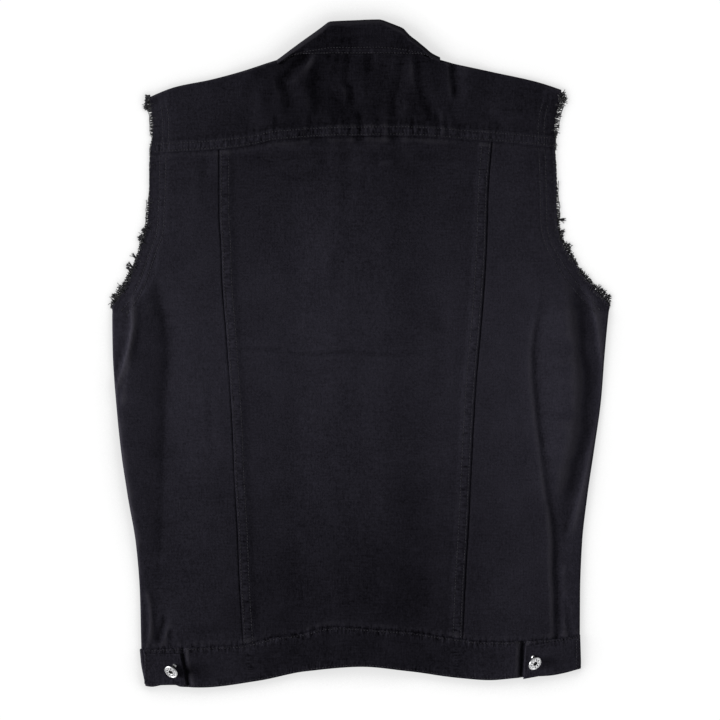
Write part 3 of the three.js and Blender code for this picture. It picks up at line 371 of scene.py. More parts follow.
# Denim: each layer of noise by scale, detail, roughness and stretch, and what each adds to the
# tone and to the relief
DENIM_NOISE = {"yarns": (900, 2, 0.6, (1.0, 0.12, 1.0)), "weft": (640, 2, 0.6, (0.1, 1.0, 1.0)),
               "grain": (480, 4, 0.7), "cloud": (24, 3)}
WALE_PITCH, WALE_SLOPE = 0.9, 0.8
GATHER_NOISE, GATHER_DOWN = (460, 1, 0.5), 0.7
GATHER_STRETCHES = ((1.0, 0.3, 1.0), (0.3, 1.0, 1.0))
GRAIN_TONE, GRAIN_EVEN = 1.8, (-1.2, 0.3, 0.45, 1.0)
TONE = {"yarns": 0.6, "weft": 0.5, "gather": 2.1, "cloud": 0.5, "wales": 0.05, "fade": 0.32,
        "wear": 0.22}
TONE_START, TONE_RANGE = 0.9, (1.025, 2.675)
RELIEF = {"wales": 0.06, "grain": 1.6, "yarns": 0.4, "weft": 0.5, "gather": 4.5}
# High places are rubbed paler and lit up by a painted highlight
WORN_AND_HIGHLIT_FROM, WORN_AND_HIGHLIT_SHARE = 0.35, 0.5
DENIM_DARK, DENIM_LIGHT = (0.0014, 0.0012, 0.0019, 1), (0.0316, 0.0298, 0.0412, 1)
DENIM_WORN_AND_HIGHLIT, DENIM_TINT = (0.042, 0.0395, 0.046, 1), (0.88, 0.85, 1.0, 1)

# Threads and metal
THREAD_DARK, THREAD_LIGHT = (0.012, 0.0115, 0.015, 1), (0.042, 0.040, 0.048, 1)
FRAY_DARK, FRAY_LIGHT, FRAY_RANGE = (0.0150, 0.0145, 0.0175, 1), (0.1, 0.099, 0.103, 1), (0.52, 0.85)
METAL_DARK, METAL_LIGHT = (0.62, 0.62, 0.63, 1), (0.8, 0.8, 0.81, 1)
# Colour of the ticks' print and of the painted shade in the cap's hole, on the leg and under the cap
METAL_PRINT_AND_SHADE = (0.012, 0.012, 0.012, 1)

# Camera, floor and lights. A lamp's row has its place and size in metres and its power.
FRAME_WIDTH = 756
PHOTO_CENTRE_Y = -6.8
CAMERA_HEIGHT = 3000
SENSOR = 36
WHITE = (1, 1, 1, 1)
FLOOR_SIZE, FLOOR_DARK = 8, (0.07, 0.07, 0.07, 1)
FLOOR_GLOW, FLOOR_UNEVEN = 0.96, 0.01
SHADOW_REACH, SHADOW_DEPTH, SHADOW_LEAST = 30, 1.5, 0.76
WORLD_LIGHT, WORLD_SEEN = 0.07, 0.95
LAMPS = [("side", (-8.0, -0.4, 3.2), 4.5, 1240), ("above", (0.22, 0.0, 0.9), 0.4, 0.4),
         ("fill", (6.0, -0.5, 1.7), 2.5, 62), ("glint", (2.1, -2.1, 1.0), 2.0, 19)]


# Curves and noise

def curve(rows, value=1):
    """A smooth curve through a table's first column and another, without overshoot."""
    at = np.array([row[0] for row in rows], float)
    to = np.array([row[value] for row in rows], float)
    slope = np.diff(to) / np.diff(at)
    before = np.r_[slope[0], slope]
    after = np.r_[slope, slope[-1]]
    along = before * after > 0
    tangent = np.where(along, 2 * before * after / np.where(along, before + after, 1), 0)

    def evaluate(x):
        x = np.asarray(x, float)
        i = np.clip(np.searchsorted(at, x, side="right") - 1, 0, len(slope) - 1)
        width = at[i + 1] - at[i]
        t = (x - at[i]) / width
        rise = t * t * (3 - 2 * t)
        inside = (to[i] + (to[i + 1] - to[i]) * rise + t * (1 - t) ** 2 * width * tangent[i]
                  + t * t * (t - 1) * width * tangent[i + 1])
        return np.where(t < 0, to[i] + slope[i] * (x - at[i]),
                        np.where(t > 1, to[i + 1] + slope[i] * (x - at[i + 1]), inside))
    return evaluate


def lerp(a, b, t):
    return a + (b - a) * t


def smooth(x, low, high):
    t = np.clip((x - low) / (high - low), 0, 1)
    return t * t * (3 - 2 * t)


def soft_min(a, b):
    return -BLEND * np.logaddexp(-a / BLEND, -b / BLEND)


def soft_max(a, b):
    return -soft_min(-a, -b)


def ripple(at, pitch, seed):
    """Smooth values from -1 to 1 along a line, a new one every pitch."""
    dots = np.random.default_rng(seed).uniform(-1, 1, DOTS)
    place = np.asarray(at, float) / pitch
    i = np.floor(place).astype(int)
    return lerp(dots[i % DOTS], dots[(i + 1) % DOTS], smooth(place - i, 0, 1))


def mottle(x, y, pitch, seed):
    """The same over a surface."""
    dots = np.random.default_rng(seed).uniform(-1, 1, (TILE, TILE))
    i = np.floor(x / pitch).astype(int)
    j = np.floor(y / pitch).astype(int)
    across = smooth(x / pitch - i, 0, 1)
    near, far = (lerp(dots[i % TILE, row % TILE], dots[(i + 1) % TILE, row % TILE], across)
                 for row in (j, j + 1))
    return lerp(near, far, smooth(y / pitch - j, 0, 1))


def rippled(at, layer):
    return sum(size * ripple(at, pitch, seed) for size, pitch, seed in RIPPLES[layer])


def mottled(x, y, layer):
    return sum(size * mottle(x, y, pitch, seed) for size, pitch, seed in MOTTLES[layer])


def puckers(along, pitch, seed):
    """Uneven gathers along a stitched seam, from -1 to 1."""
    drift = PUCKER_DRIFT * ripple(along, PUCKER_DRIFT_PITCH * pitch, seed)
    uneven = PUCKER_UNEVEN * ripple(along, PUCKER_UNEVEN_PITCH * pitch, seed + 1)
    return np.cos(2 * math.pi * along / pitch + drift) * (1 - PUCKER_UNEVEN + uneven)


def strip(at, height, middle, spread):
    """A soft band: its height at its middle, fading over its spread to both sides."""
    return height * np.exp(-((at - middle) / spread) ** 2)


def gathers(seam, along, across):
    height, pitch, seed, middle, spread = GATHERS[seam]
    return puckers(along, pitch, seed) * strip(across, height, middle, spread)


def nearest(values, to):
    return int(np.argmin(np.abs(values - to)))


def steps(first, last, count):
    return np.linspace(first, last, count)


def crowded(near, gap, count):
    """Shares from 0 to 1 that lie closer together by both ends."""
    return np.r_[near, steps(gap, 1 - gap, count), 1 - near[::-1]]


EDGE = {"left": curve(SIDES, 1), "right": curve(SIDES, 2)}
SEAM = {"left": curve(PANEL_SEAMS, 1), "right": curve(PANEL_SEAMS, 2)}
AWAY = {"left": -1, "right": 1}
top_line = curve(TOP)
yoke_seam = curve(YOKE_SEAM)
waist_seam = curve(WAIST_SEAM)
hem_line = curve(HEM)
neckline = curve(FRONT_NECKLINE)


# Heights of the lying cloth

def smooth_path(points, per_leg=5):
    """Points along a Catmull-Rom curve through the given ones."""
    p = np.array(points, float)
    p = np.vstack([2 * p[0] - p[1], p, 2 * p[-1] - p[-2]])
    t = np.linspace(0, 1, per_leg, endpoint=False)[:, None]
    legs = [0.5 * (2 * b + (c - a) * t + (2 * a - 5 * b + 4 * c - d) * t ** 2
                   + (3 * b - a - 3 * c + d) * t ** 3)
            for a, b, c, d in zip(p, p[1:], p[2:], p[3:])]
    return np.vstack(legs + [p[-2:-1]])


def beside(path, x, y):
    """How far points lie from a path, on which side, and how far along it."""
    a = path[:-1]
    step = path[1:] - a
    square = (step ** 2).sum(1)
    reach = np.sqrt(square)
    gone = np.r_[0, np.cumsum(reach)]
    rel_x = x[:, None] - a[:, 0]
    rel_y = y[:, None] - a[:, 1]
    t = np.clip((rel_x * step[:, 0] + rel_y * step[:, 1]) / square, 0, 1)
    far = np.hypot(rel_x - t * step[:, 0], rel_y - t * step[:, 1])
    best = far.argmin(1)
    row = np.arange(len(x))
    turn = rel_x[row, best] * step[best, 1] - rel_y[row, best] * step[best, 0]
    heading = np.where(step[best, 1] > 0, 1, -1)
    along = gone[best] + t[row, best] * reach[best]
    return far[row, best], np.sign(turn) * heading, along, gone[-1]


def fold_depth(x, y):
    """How deep all the folds press a point down."""
    spots = np.stack(np.broadcast_arrays(np.asarray(x, float), np.asarray(y, float)), -1)
    shape = spots.shape[:-1]
    spots = spots.reshape(-1, 2)
    total = np.zeros(len(spots))
    for number, (depth, left, right, sharp, points) in enumerate(FOLDS):
        path = smooth_path(points)
        room = max(left, right)
        near = np.flatnonzero(((spots > path.min(0) - room) & (spots < path.max(0) + room)).all(1))
        if not len(near):
            continue
        far, side, along, length = beside(path, *spots[near].T)
        t = np.clip(far / np.where(side < 0, left, right), 0, 1)
        profile = lerp(1 - smooth(t, 0, 1), (1 - t) ** FOLD_POWER, sharp)
        share = along / length
        ends = smooth(share, -FOLD_PAST, FOLD_FADE) * (1 - smooth(share, 1 - FOLD_FADE, 1 + FOLD_PAST))
        uneven = 1 + FOLD_UNEVEN * ripple(along, FOLD_PITCH, FOLD_SEED + number)
        total[near] += depth * uneven * ends * profile
    return total.reshape(shape)


def under(x, y):
    """Height of the lowest layer: it rises over the placket's buttons and the collar's ends."""
    over = 1 - smooth(y, *PLACKET_FADE)
    ridge = PLACKET_RISE * over * (1 - smooth(np.abs(x), PLACKET_FLAT, PLACKET_SPREAD))
    far = np.hypot(x - NECK["x"], y - NECK["y"])
    return np.maximum(ridge, NECK["lift"] * (1 - smooth(far, NECK["flat"], NECK["spread"])))


def rolled(y):
    return 1 - smooth(y, *UNDERARM)


def swollen(far, height, more, softness):
    return height + more * (1 - np.exp(-far / softness))


def swell(x, y):
    """Height of the back's outer face over the lowest layer, without its folds."""
    side = np.maximum(0, np.minimum(x - EDGE["left"](y), EDGE["right"](y) - x))
    shelter = 1 - smooth(np.abs(x - NECK["x"]), *NECK["half"])
    top = np.maximum(0, top_line(x) - y + NECK["shelter"] * shelter)
    flank = lerp(swollen(side, *CUT), swollen(side, *ROLL), rolled(y))
    return soft_max(soft_min(flank, swollen(top, *ROLL)), ROLL_HEIGHT - top / SHOULDER_FALL)


def back_top(x, y):
    """Outer face of the back with its folds and slight unevenness."""
    far = np.hypot((x - HOLE["x"]) / HOLE["rx"], (y - HOLE["y"]) / HOLE["ry"])
    sag = HOLE["sag"] * (1 - smooth(far, HOLE["flat"], 1))
    floor = under(x, y)
    room = swell(x, y)
    height = floor + room - sag - fold_depth(x, y) + mottled(x, y, "back")
    return soft_max(height, floor + soft_min(room, LEAST_ROOM) - sag)


def rounded(distance, radius=EDGE_ROUND):
    """How far a turned edge falls away near its end."""
    inside = np.clip(radius - distance, 0, radius)
    return radius - np.sqrt(radius ** 2 - inside ** 2 * ROUND_SHARE)


def groove(distance, depth=0.22, half=1.1):
    """The slight channel that a row of stitches pulls into the cloth."""
    return strip(distance, depth, 0, half)


def grooves(distance, seam):
    return sum(groove(distance - row) for row in ROWS[seam])


# Dye, painted light and gathers, point by point

def wear_of(points):
    """How far each point of a grid stands out from its surroundings, from -1 to 1, where it is rubbed paler
    and given a painted highlight.
    """
    z = points[..., 2]
    padded = np.pad(z, WEAR_AND_HIGHLIGHT_REACH, mode="edge")
    rows, cols = z.shape
    shifts = (0, WEAR_AND_HIGHLIGHT_REACH, 2 * WEAR_AND_HIGHLIGHT_REACH)
    around = [padded[i:i + rows, j:j + cols] for i in shifts for j in shifts]
    return np.clip((z - np.mean(around, axis=0)) / WEAR_AND_HIGHLIGHT_SCALE, -1, 1)


def fade_at(x, y):
    """Where the colour is lighter: painted light that falls off from the middle, and stitched rows rubbed
    paler.
    """
    middle, sides, right = (curve(PAINTED_LIGHT, k)(y) for k in (1, 2, 3))
    across = smooth(np.abs(x - PAINTED_LIGHT_MIDDLE), *PAINTED_LIGHT_HALF)
    return lerp(middle, sides, across) + right * smooth(x, *PAINTED_LIGHT_RIGHT) + rubbed_at(x, y)


def rubbed_at(x, y):
    """Stitched rows that stand up and have rubbed paler: the yoke's edge and the armholes."""
    total = strip(y - yoke_seam(x), *RUBBED["yoke"])
    for side, away in AWAY.items():
        inward = (EDGE[side](y) - x) * away * (1 - strip(y, *ARMHOLE_SLANT))
        for row in ROWS["armhole"]:
            total = total + strip(inward - row, *RUBBED["armhole"]) * smooth(y, *RUBBED_ABOVE)
    return total


def crinkle_at(x, y):
    """Where stitching gathers the cloth: up to 1 by seams across, down to -1 by seams down."""
    across = sum(strip(y - line(x), *CRINKLED[name])
                 for name, line in (("yoke", yoke_seam), ("waist", waist_seam), ("hem", hem_line)))
    down = sum(strip((x - SEAM[side](y)) * away, *CRINKLED["panel"])
               + strip((EDGE[side](y) - x) * away, *CRINKLED["armhole"]) * smooth(y, *CRINKLED_ABOVE)
               for side, away in AWAY.items())
    return np.clip(across - down * smooth(yoke_seam(x) - y, *CRINKLED_BELOW_YOKE), -1, 1)


# Meshes

def make_mesh(name, points, *face_groups):
    """A mesh of points in millimetres and arrays of faces with equally many corners."""
    mesh = bpy.data.meshes.new(name)
    sizes = np.concatenate([np.full(len(faces), faces.shape[1]) for faces in face_groups])
    corners = np.concatenate([faces.ravel() for faces in face_groups])
    mesh.vertices.add(len(points))
    mesh.vertices.foreach_set("co", (points * MM).astype(np.float32).ravel())
    mesh.loops.add(len(corners))
    mesh.loops.foreach_set("vertex_index", corners.astype(np.int32))
    mesh.polygons.add(len(sizes))
    mesh.polygons.foreach_set("loop_start", (np.cumsum(sizes) - sizes).astype(np.int32))
    mesh.update(calc_edges=True)
    mesh.validate()
    mesh.shade_smooth()
    piece = bpy.data.objects.new(name, mesh)
    bpy.context.scene.collection.objects.link(piece)
    return piece


def dress(piece, material, slot, *nodes):
    """Gives a piece its finish and its body, and hides the solids that it stands for."""
    piece.data.materials.append(MATERIALS[material])
    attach(piece, "root")
    if nodes:
        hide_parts(*nodes)
    return piece


def paint(piece, **layers):
    """Writes a number at each point for a material to read."""
    for name, values in layers.items():
        layer = piece.data.attributes.new(name, "FLOAT", "POINT")
        layer.data.foreach_set("value", values.astype(np.float32))


def grid(x, y, z):
    return np.stack(np.broadcast_arrays(x, y, z), -1)


def grid_normals(points):
    down = np.gradient(points, axis=0)
    across = np.gradient(points, axis=1)
    normal = np.cross(across, down)
    return normal / np.maximum(np.linalg.norm(normal, axis=2, keepdims=True), 1e-9)


def sharpen_rims(mesh, rim, count):
    """Keeps the shading of the wall's two faces apart along the points of their rims."""
    on_rim = np.zeros(2 * count, bool)
    on_rim[np.r_[rim, rim + count]] = True
    ends = np.empty(2 * len(mesh.edges), np.int32)
    mesh.edges.foreach_get("vertices", ends)
    ends = ends.reshape(-1, 2)
    same_face = (ends < count).all(1) | (ends >= count).all(1)
    sharp = mesh.attributes.new("sharp_edge", "BOOLEAN", "EDGE")
    sharp.data.foreach_set("value", on_rim[ends].all(1) & same_face)


def cloth(name, outer, thick, solid, upward=True):
    """A closed thin wall of denim behind a grid of outer points."""
    rows, cols = outer.shape[:2]
    normal = grid_normals(outer)
    flipped = (normal[..., 2].mean() > 0) != upward
    if flipped:
        normal = -normal
    inner = outer - normal * thick
    inner[..., 2] = np.maximum(inner[..., 2], INNER_LOWEST)
    count = rows * cols
    index = np.arange(count).reshape(rows, cols)
    a, b, c, d = (part.ravel() for part in
                  (index[:-1, :-1], index[:-1, 1:], index[1:, 1:], index[1:, :-1]))
    rim = np.r_[index[0, :-1], index[:-1, -1], index[-1, :0:-1], index[:0:-1, 0]]
    ahead = np.roll(rim, -1)
    faces = np.vstack([np.stack([a, b, c, d], 1), np.stack([a, d, c, b], 1) + count,
                       np.stack([ahead, rim, rim + count, ahead + count], 1)])
    if flipped:
        faces = faces[:, ::-1]
    points = np.vstack([outer.reshape(-1, 3), inner.reshape(-1, 3)])
    piece = make_mesh(name, points, faces)
    # What stands out is rubbed paler and carries a painted highlight
    stands_out = wear_of(outer).ravel() * (1 if upward else -1)
    x, y = points[:, 0], points[:, 1]
    # The painted light that falls off from the middle goes into the dye, with the rubbed rows
    paint(piece, wear=np.r_[stands_out, np.zeros(count)], fade=fade_at(x, y),
          crinkle=crinkle_at(x, y) * upward)
    sharpen_rims(piece.data, rim, count)
    return dress(piece, "denim", "denim", solid)


def tubes(name, paths, radii, sides=5):
    """Many closed tubes as one mesh: paths is (tubes, points, 3) and radii (tubes, points)."""
    paths = np.asarray(paths, float)
    many, long = paths.shape[:2]
    ahead = np.gradient(paths, axis=1)
    ahead /= np.maximum(np.linalg.norm(ahead, axis=2, keepdims=True), 1e-9)
    up = np.zeros_like(ahead)
    up[..., 2] = 1
    side = np.cross(ahead, up)
    side /= np.maximum(np.linalg.norm(side, axis=2, keepdims=True), 1e-6)
    top = np.cross(side, ahead)
    turn = np.arange(sides) * 2 * math.pi / sides
    ring = (np.cos(turn)[:, None] * side[:, :, None] + np.sin(turn)[:, None] * top[:, :, None])
    points = paths[:, :, None] + ring * np.asarray(radii)[:, :, None, None]
    index = np.arange(many * long * sides).reshape(many, long, sides)
    nearby = np.roll(index, -1, axis=2)
    walls = np.stack([index[:, :-1], nearby[:, :-1], nearby[:, 1:], index[:, 1:]], -1)
    caps = np.vstack([index[:, 0, ::-1], index[:, -1]])
    return make_mesh(name, points.reshape(-1, 3), walls.reshape(-1, 4), caps)


def stitch_paths(line, seed):
    """Short arched threads along a line of surface points, as paths and radii."""
    line = np.asarray(line, float)
    gone = np.r_[0, np.cumsum(np.linalg.norm(np.diff(line, axis=0), axis=1))]
    count = int(gone[-1] / STITCH_PITCH)
    along, rise, thick = np.array(STITCH_SHAPE).T
    if count < 1:
        return np.zeros((0, len(along), 3)), np.zeros((0, len(along)))
    rng = np.random.default_rng(seed)

    def jitter(way, *size):
        return rng.uniform(-JITTER[way], JITTER[way], size)
    middle = (np.arange(count) + 0.5) * gone[-1] / count + jitter("along", count)
    spots = middle[:, None] + along * STITCH_LENGTH
    paths = np.stack([np.interp(spots, gone, line[:, k]) for k in range(3)], -1)
    paths[..., 2] += rise + jitter("up", count, 1)
    paths[..., :2] += jitter("aside", count, 1, 2)
    return paths, THREAD * thick * rng.uniform(*THREAD_UNEVEN, (count, 1))


def sew(name, lines, seed):
    """All the stitches of some seams as one joined piece."""
    made = [stitch_paths(line, seed + k) for k, line in enumerate(lines)]
    paths, radii = (np.concatenate(parts) for parts in zip(*made))
    dress(tubes(name, paths, radii), "thread", "denim")


# Materials

def node(tree, kind, values=(), **settings):
    made = tree.nodes.new(kind)
    for key, value in settings.items():
        setattr(made, key, value)
    for key, value in dict(values).items():
        if isinstance(value, bpy.types.NodeSocket):
            tree.links.new(value, made.inputs[key])
        else:
            made.inputs[key].default_value = value
    return made


def maths(tree, operation, *values):
    return node(tree, "ShaderNodeMath", dict(enumerate(values)), operation=operation).outputs[0]


def noise(tree, place, scale, detail, rough=0.5, stretch=None):
    if stretch:
        place = node(tree, "ShaderNodeMapping", {"Vector": place, "Scale": stretch}).outputs[0]
    return node(tree, "ShaderNodeTexNoise", {"Vector": place, "Scale": scale, "Detail": detail,
                                             "Roughness": rough}).outputs[0]


def painted(tree, layer):
    return node(tree, "ShaderNodeAttribute", attribute_name=layer).outputs["Fac"]


def ranged(tree, value, low, high, least=0.0, most=1.0):
    return node(tree, "ShaderNodeMapRange", {"Value": value, "From Min": low, "From Max": high,
                                             "To Min": least, "To Max": most}).outputs[0]


def mixed(tree, share, first, second):
    colours = {"Fac": share, "Color1": first, "Color2": second}
    return node(tree, "ShaderNodeMixRGB", colours).outputs[0]


def layered(tree, total, layers, weights):
    """A total with each named layer added by its weight."""
    for name, weight in weights.items():
        total = maths(tree, "ADD", total, maths(tree, "MULTIPLY", layers[name], weight))
    return total


def new_material(name):
    material = bpy.data.materials.new(name)
    material.use_nodes = True
    tree = material.node_tree
    tree.nodes.clear()
    return material, tree, node(tree, "ShaderNodeTexCoord").outputs["Object"]


def finished(tree, relief, sockets, strength, depth):
    """The shader with its relief, and the material's output."""
    bump = node(tree, "ShaderNodeBump", {"Strength": strength, "Distance": depth * MM,
                                         "Height": relief})
    shader = node(tree, "ShaderNodeBsdfPrincipled", {**sockets, "Normal": bump.outputs[0]})
    node(tree, "ShaderNodeOutputMaterial", {"Surface": shader.outputs[0]})


def gather_layer(tree, place):
    """Fine ticks that lie across the seams which gather the cloth."""
    crinkle = painted(tree, "crinkle")
    ticks = []
    for stretch, share in ((GATHER_STRETCHES[0], crinkle),
                           (GATHER_STRETCHES[1], maths(tree, "MULTIPLY", crinkle, -GATHER_DOWN))):
        tick = maths(tree, "SUBTRACT", noise(tree, place, *GATHER_NOISE, stretch), 0.5)
        ticks.append(maths(tree, "MULTIPLY", tick, maths(tree, "MAXIMUM", share, 0.0)))
    return maths(tree, "ADD", *ticks)


def denim():
    """Overdyed twill: diagonal wales, uneven yarns, cloudy dye, painted light falling off from the middle,
    and high places rubbed paler with a painted highlight.
    """
    material, tree, place = new_material("denim")
    layers = {name: noise(tree, place, *row) for name, row in DENIM_NOISE.items()}
    x, y, _ = node(tree, "ShaderNodeSeparateXYZ", {0: place}).outputs
    diagonal = maths(tree, "ADD", x, maths(tree, "MULTIPLY", y, WALE_SLOPE))
    layers["wales"] = maths(tree, "SINE", maths(tree, "MULTIPLY", diagonal,
                                                2 * math.pi / (WALE_PITCH * MM)))
    layers["gather"] = gather_layer(tree, place)
    wear = layers["wear"] = painted(tree, "wear")
    # Painted light: lighter down the middle, darker towards the collar and the hem
    fade = layers["fade"] = painted(tree, "fade")
    grain = maths(tree, "MULTIPLY", maths(tree, "SUBTRACT", layers["grain"], 0.5), GRAIN_TONE)
    grained = maths(tree, "MULTIPLY", grain, ranged(tree, fade, *GRAIN_EVEN))
    tone = layered(tree, maths(tree, "ADD", grained, TONE_START), layers, TONE)
    dyed = mixed(tree, ranged(tree, tone, *TONE_RANGE), DENIM_DARK, DENIM_LIGHT)
    # Crests rubbed paler, with a painted highlight
    high = maths(tree, "MAXIMUM", maths(tree, "SUBTRACT", wear, WORN_AND_HIGHLIT_FROM), 0.0)
    abraded_and_highlit = mixed(tree, maths(tree, "MULTIPLY", high, WORN_AND_HIGHLIT_SHARE), dyed, DENIM_WORN_AND_HIGHLIT)
    finished(tree, layered(tree, 0.0, layers, RELIEF),
             {"Base Color": abraded_and_highlit, "Roughness": 0.82, "Specular IOR Level": 0.03,
              "Specular Tint": DENIM_TINT}, strength=0.7, depth=0.4)
    return material


def thread_material(name, dark, light, least=0.35, most=0.65):
    """Spun thread with a slight twist and uneven dye."""
    material, tree, place = new_material(name)
    dyed = mixed(tree, ranged(tree, noise(tree, place, 350, 2), least, most), dark, light)
    finished(tree, noise(tree, place, 2600, 1),
             {"Base Color": dyed, "Roughness": 0.8, "Specular IOR Level": 0.3},
             strength=0.5, depth=0.1)
    return material


def metal_material():
    """Satin nickel with fine scratches, dark print on its ticks, and painted shade in its hole, on its leg
    and under its cap.
    """
    material, tree, place = new_material("metal")
    cloudy = ranged(tree, noise(tree, place, 700, 4), 0.35, 0.65)
    scratches = noise(tree, place, 900, 3, stretch=(1, 9, 1))
    plated = mixed(tree, cloudy, METAL_DARK, METAL_LIGHT)
    # Painted shade and the ticks' print darken the plating
    grimed = mixed(tree, painted(tree, "grime"), plated, METAL_PRINT_AND_SHADE)
    finished(tree, scratches,
             {"Base Color": grimed, "Metallic": 0.72,
              "Roughness": ranged(tree, scratches, 0, 1, 0.26, 0.46)}, strength=0.15, depth=0.1)
    return material


def floor_material():
    """A pale table that glows evenly, with a painted shadow that dims it a little close to what lies on it.
    """
    material, tree, place = new_material("floor")
    near = node(tree, "ShaderNodeAmbientOcclusion", {"Distance": SHADOW_REACH * MM}, samples=8)
    shadow = maths(tree, "POWER", near.outputs["AO"], SHADOW_DEPTH)
    dimmed = maths(tree, "MAXIMUM", shadow, SHADOW_LEAST)
    uneven = maths(tree, "MULTIPLY", noise(tree, place, 3, 2), FLOOR_UNEVEN)
    glow = maths(tree, "MULTIPLY", dimmed, maths(tree, "ADD", uneven, FLOOR_GLOW))
    light = node(tree, "ShaderNodeEmission", {"Color": WHITE, "Strength": glow})
    matt = node(tree, "ShaderNodeBsdfDiffuse", {"Color": FLOOR_DARK})
    both = node(tree, "ShaderNodeAddShader", {0: light.outputs[0], 1: matt.outputs[0]})
    node(tree, "ShaderNodeOutputMaterial", {"Surface": both.outputs[0]})
    return material


MATERIALS = {"denim": denim(), "thread": thread_material("thread", THREAD_DARK, THREAD_LIGHT),
             "fray": thread_material("fray", FRAY_DARK, FRAY_LIGHT, *FRAY_RANGE),
             "metal": metal_material()}


# Panels of the back

def roll_end(height, share, tail=ROLL_TAIL):
    """A section's end past the top face, row by row: distances out and drops. Share 0 is a cut
    edge and 1 a full roll."""
    middles = (np.arange(ROLL_STEPS) + 0.5) / ROLL_STEPS
    full_drop = np.sin(math.pi * middles).sum()
    step = lerp(CUT_REACH / (ROLL_STEPS + 1), height / full_drop, share)
    last = lerp(step, tail, smooth(share, *TAIL_GROWS))
    lengths = np.c_[np.repeat(step[:, None], ROLL_STEPS, 1), np.outer(last, TAIL_PARTS)]
    turn = np.outer(math.pi * share, np.r_[middles, np.ones(len(TAIL_PARTS))])
    out = np.cumsum(lengths * np.cos(turn), axis=1)
    return out, np.cumsum(lengths * np.sin(turn), axis=1), out.max(1)


def centre_lift(x, y):
    """What sewing adds to the centre panel's height: the felled seams and the tucked ends."""
    total = np.zeros(np.broadcast(x, y).shape)
    for side, away in AWAY.items():
        d = (SEAM[side](y) - x) * away
        band = (1 - smooth(d, *FELL_ENDS["panel"])) * smooth(d, *PANEL_STARTS)
        gather = gathers(f"panel {side}", y, d)
        total += band * (FELL_RISE + gather) - rounded(d) - grooves(d, "panel")
        total += strip(d, *BESIDE_PANEL_SEAM) * gather
    return total + cross_seams(x, y, total)


def cross_seams(x, y, raised):
    """Where a panel runs under the yoke and the waistband: it dips, and gathers beside them."""
    below_yoke = yoke_seam(x) - y
    above_waist = y - waist_seam(x)
    hidden = 1 - smooth(np.minimum(below_yoke, above_waist), *HIDDEN_UNDER)
    dip = SEAM_DIP * (2 - smooth(below_yoke, *DIP_BY_YOKE) - smooth(above_waist, *DIP_BY_WAIST))
    gather = (gathers("below yoke", x, np.maximum(below_yoke, 0))
              + gathers("above waist", x, np.maximum(above_waist, 0)))
    return gather * (1 - hidden) - raised * hidden - dip


def panel_rows(lane, lanes):
    """Points of lanes that run from under the yoke to under the waistband."""
    share = steps(0, 1, PANEL_STEPS)[:, None] + np.zeros(lanes)
    y = np.zeros(share.shape)
    for _ in range(SETTLINGS):
        x = lane(y)
        y = lerp(yoke_seam(x) + TUCK, waist_seam(x) - TUCK, share)
    return x, y


def centre_top(x, y):
    return back_top(x, y) + centre_lift(x, y)


def centre_panel():
    near = np.array(CENTRE_NEAR)
    between = steps(0, 1, CENTRE_LANES)[1:-1]
    place = np.r_[np.zeros(len(near)), between, np.ones(len(near))]
    off = np.r_[near, near[-1] * (1 - 2 * between), -near[::-1]]
    x, y = panel_rows(lambda y: lerp(SEAM["left"](y), SEAM["right"](y), place) + off, len(place))
    piece = cloth("back_centre_cloth", grid(x, y, centre_top(x, y)), CLOTH, "back_centre_panel")


def armhole_path(side, inset, first, last):
    """A line inside the cut armhole edge at one distance from it, going down."""
    y = steps(first, last, ARMHOLE_POINTS)
    x = EDGE[side](y)
    run = np.gradient(x, y)
    size = np.hypot(1, run)
    away = AWAY[side]
    return np.stack([x - away * inset / size, y + away * inset * run / size], 1)


def armhole_grooves(side, x, y):
    total = np.zeros(x.shape)
    near = (y > ARMHOLE_LOW) & (np.abs(x - EDGE[side](y)) < ARMHOLE_NEAR)
    for inset in ROWS["armhole"]:
        far = beside(armhole_path(side, inset, *ARMHOLE_GROOVED)[::3], x[near], y[near])[0]
        total[near] += groove(far, *ARMHOLE_GROOVE)
    return total


def side_lift(side, x, y):
    """What sewing does to a side panel: it dips under the centre panel and at both ends."""
    d = (x - SEAM[side](y)) * AWAY[side]
    dip = (SEAM_DIP + rippled(y, "dip")) * (1 - smooth(d, *DIP_BY_PANEL))
    gather = gathers("side panel", y, np.maximum(d, 0))
    return gather - dip + cross_seams(x, y, gather)


def side_top(side, x, y):
    return back_top(x, y) + side_lift(side, x, y) - armhole_grooves(side, x, y)


def side_panel(side):
    away = AWAY[side]
    edge_x, edge_y = panel_rows(EDGE[side], 1)
    turned = rolled(edge_y)
    room = back_top(edge_x - away * ROLL_REACH, edge_y) - under(edge_x, edge_y)
    out, drop, reach = roll_end(room[:, 0], turned[:, 0])
    near = np.array(SIDE_NEAR)
    between = steps(0, 1, SIDE_LANES)[1:]
    place = np.r_[np.zeros(len(near)), between]
    off = np.r_[near, near[-1] * (1 - between)]

    def lanes(y):
        last = EDGE[side](y) - away * reach[:, None]
        return lerp(SEAM[side](y), last, place) + away * off
    x, y = panel_rows(lanes, len(place))
    z = side_top(side, x, y)
    last_x, last_z = x[:, -1:], z[:, -1:]
    roll_x, roll_y = panel_rows(lambda y: last_x + away * out, out.shape[1])
    squeeze = (last_z - under(last_x, edge_y)) / room
    tucked = smooth(waist_seam(roll_x) - roll_y, *UNDER_BAND)
    roll_z = np.maximum(last_z - drop * lerp(1, squeeze, turned),
                        OUTER_LOWEST + (BAND_CLOTH + BAND_ROOM) * tucked)
    ragged = rippled(roll_y, "side panel") * (1 - turned) * steps(0, 1, out.shape[1])
    outer = np.concatenate([grid(x, y, z), grid(roll_x + away * ragged, roll_y, roll_z)], 1)
    piece = cloth(f"side_panel_{side}_cloth", outer, CLOTH, f"side_panel_{side}")


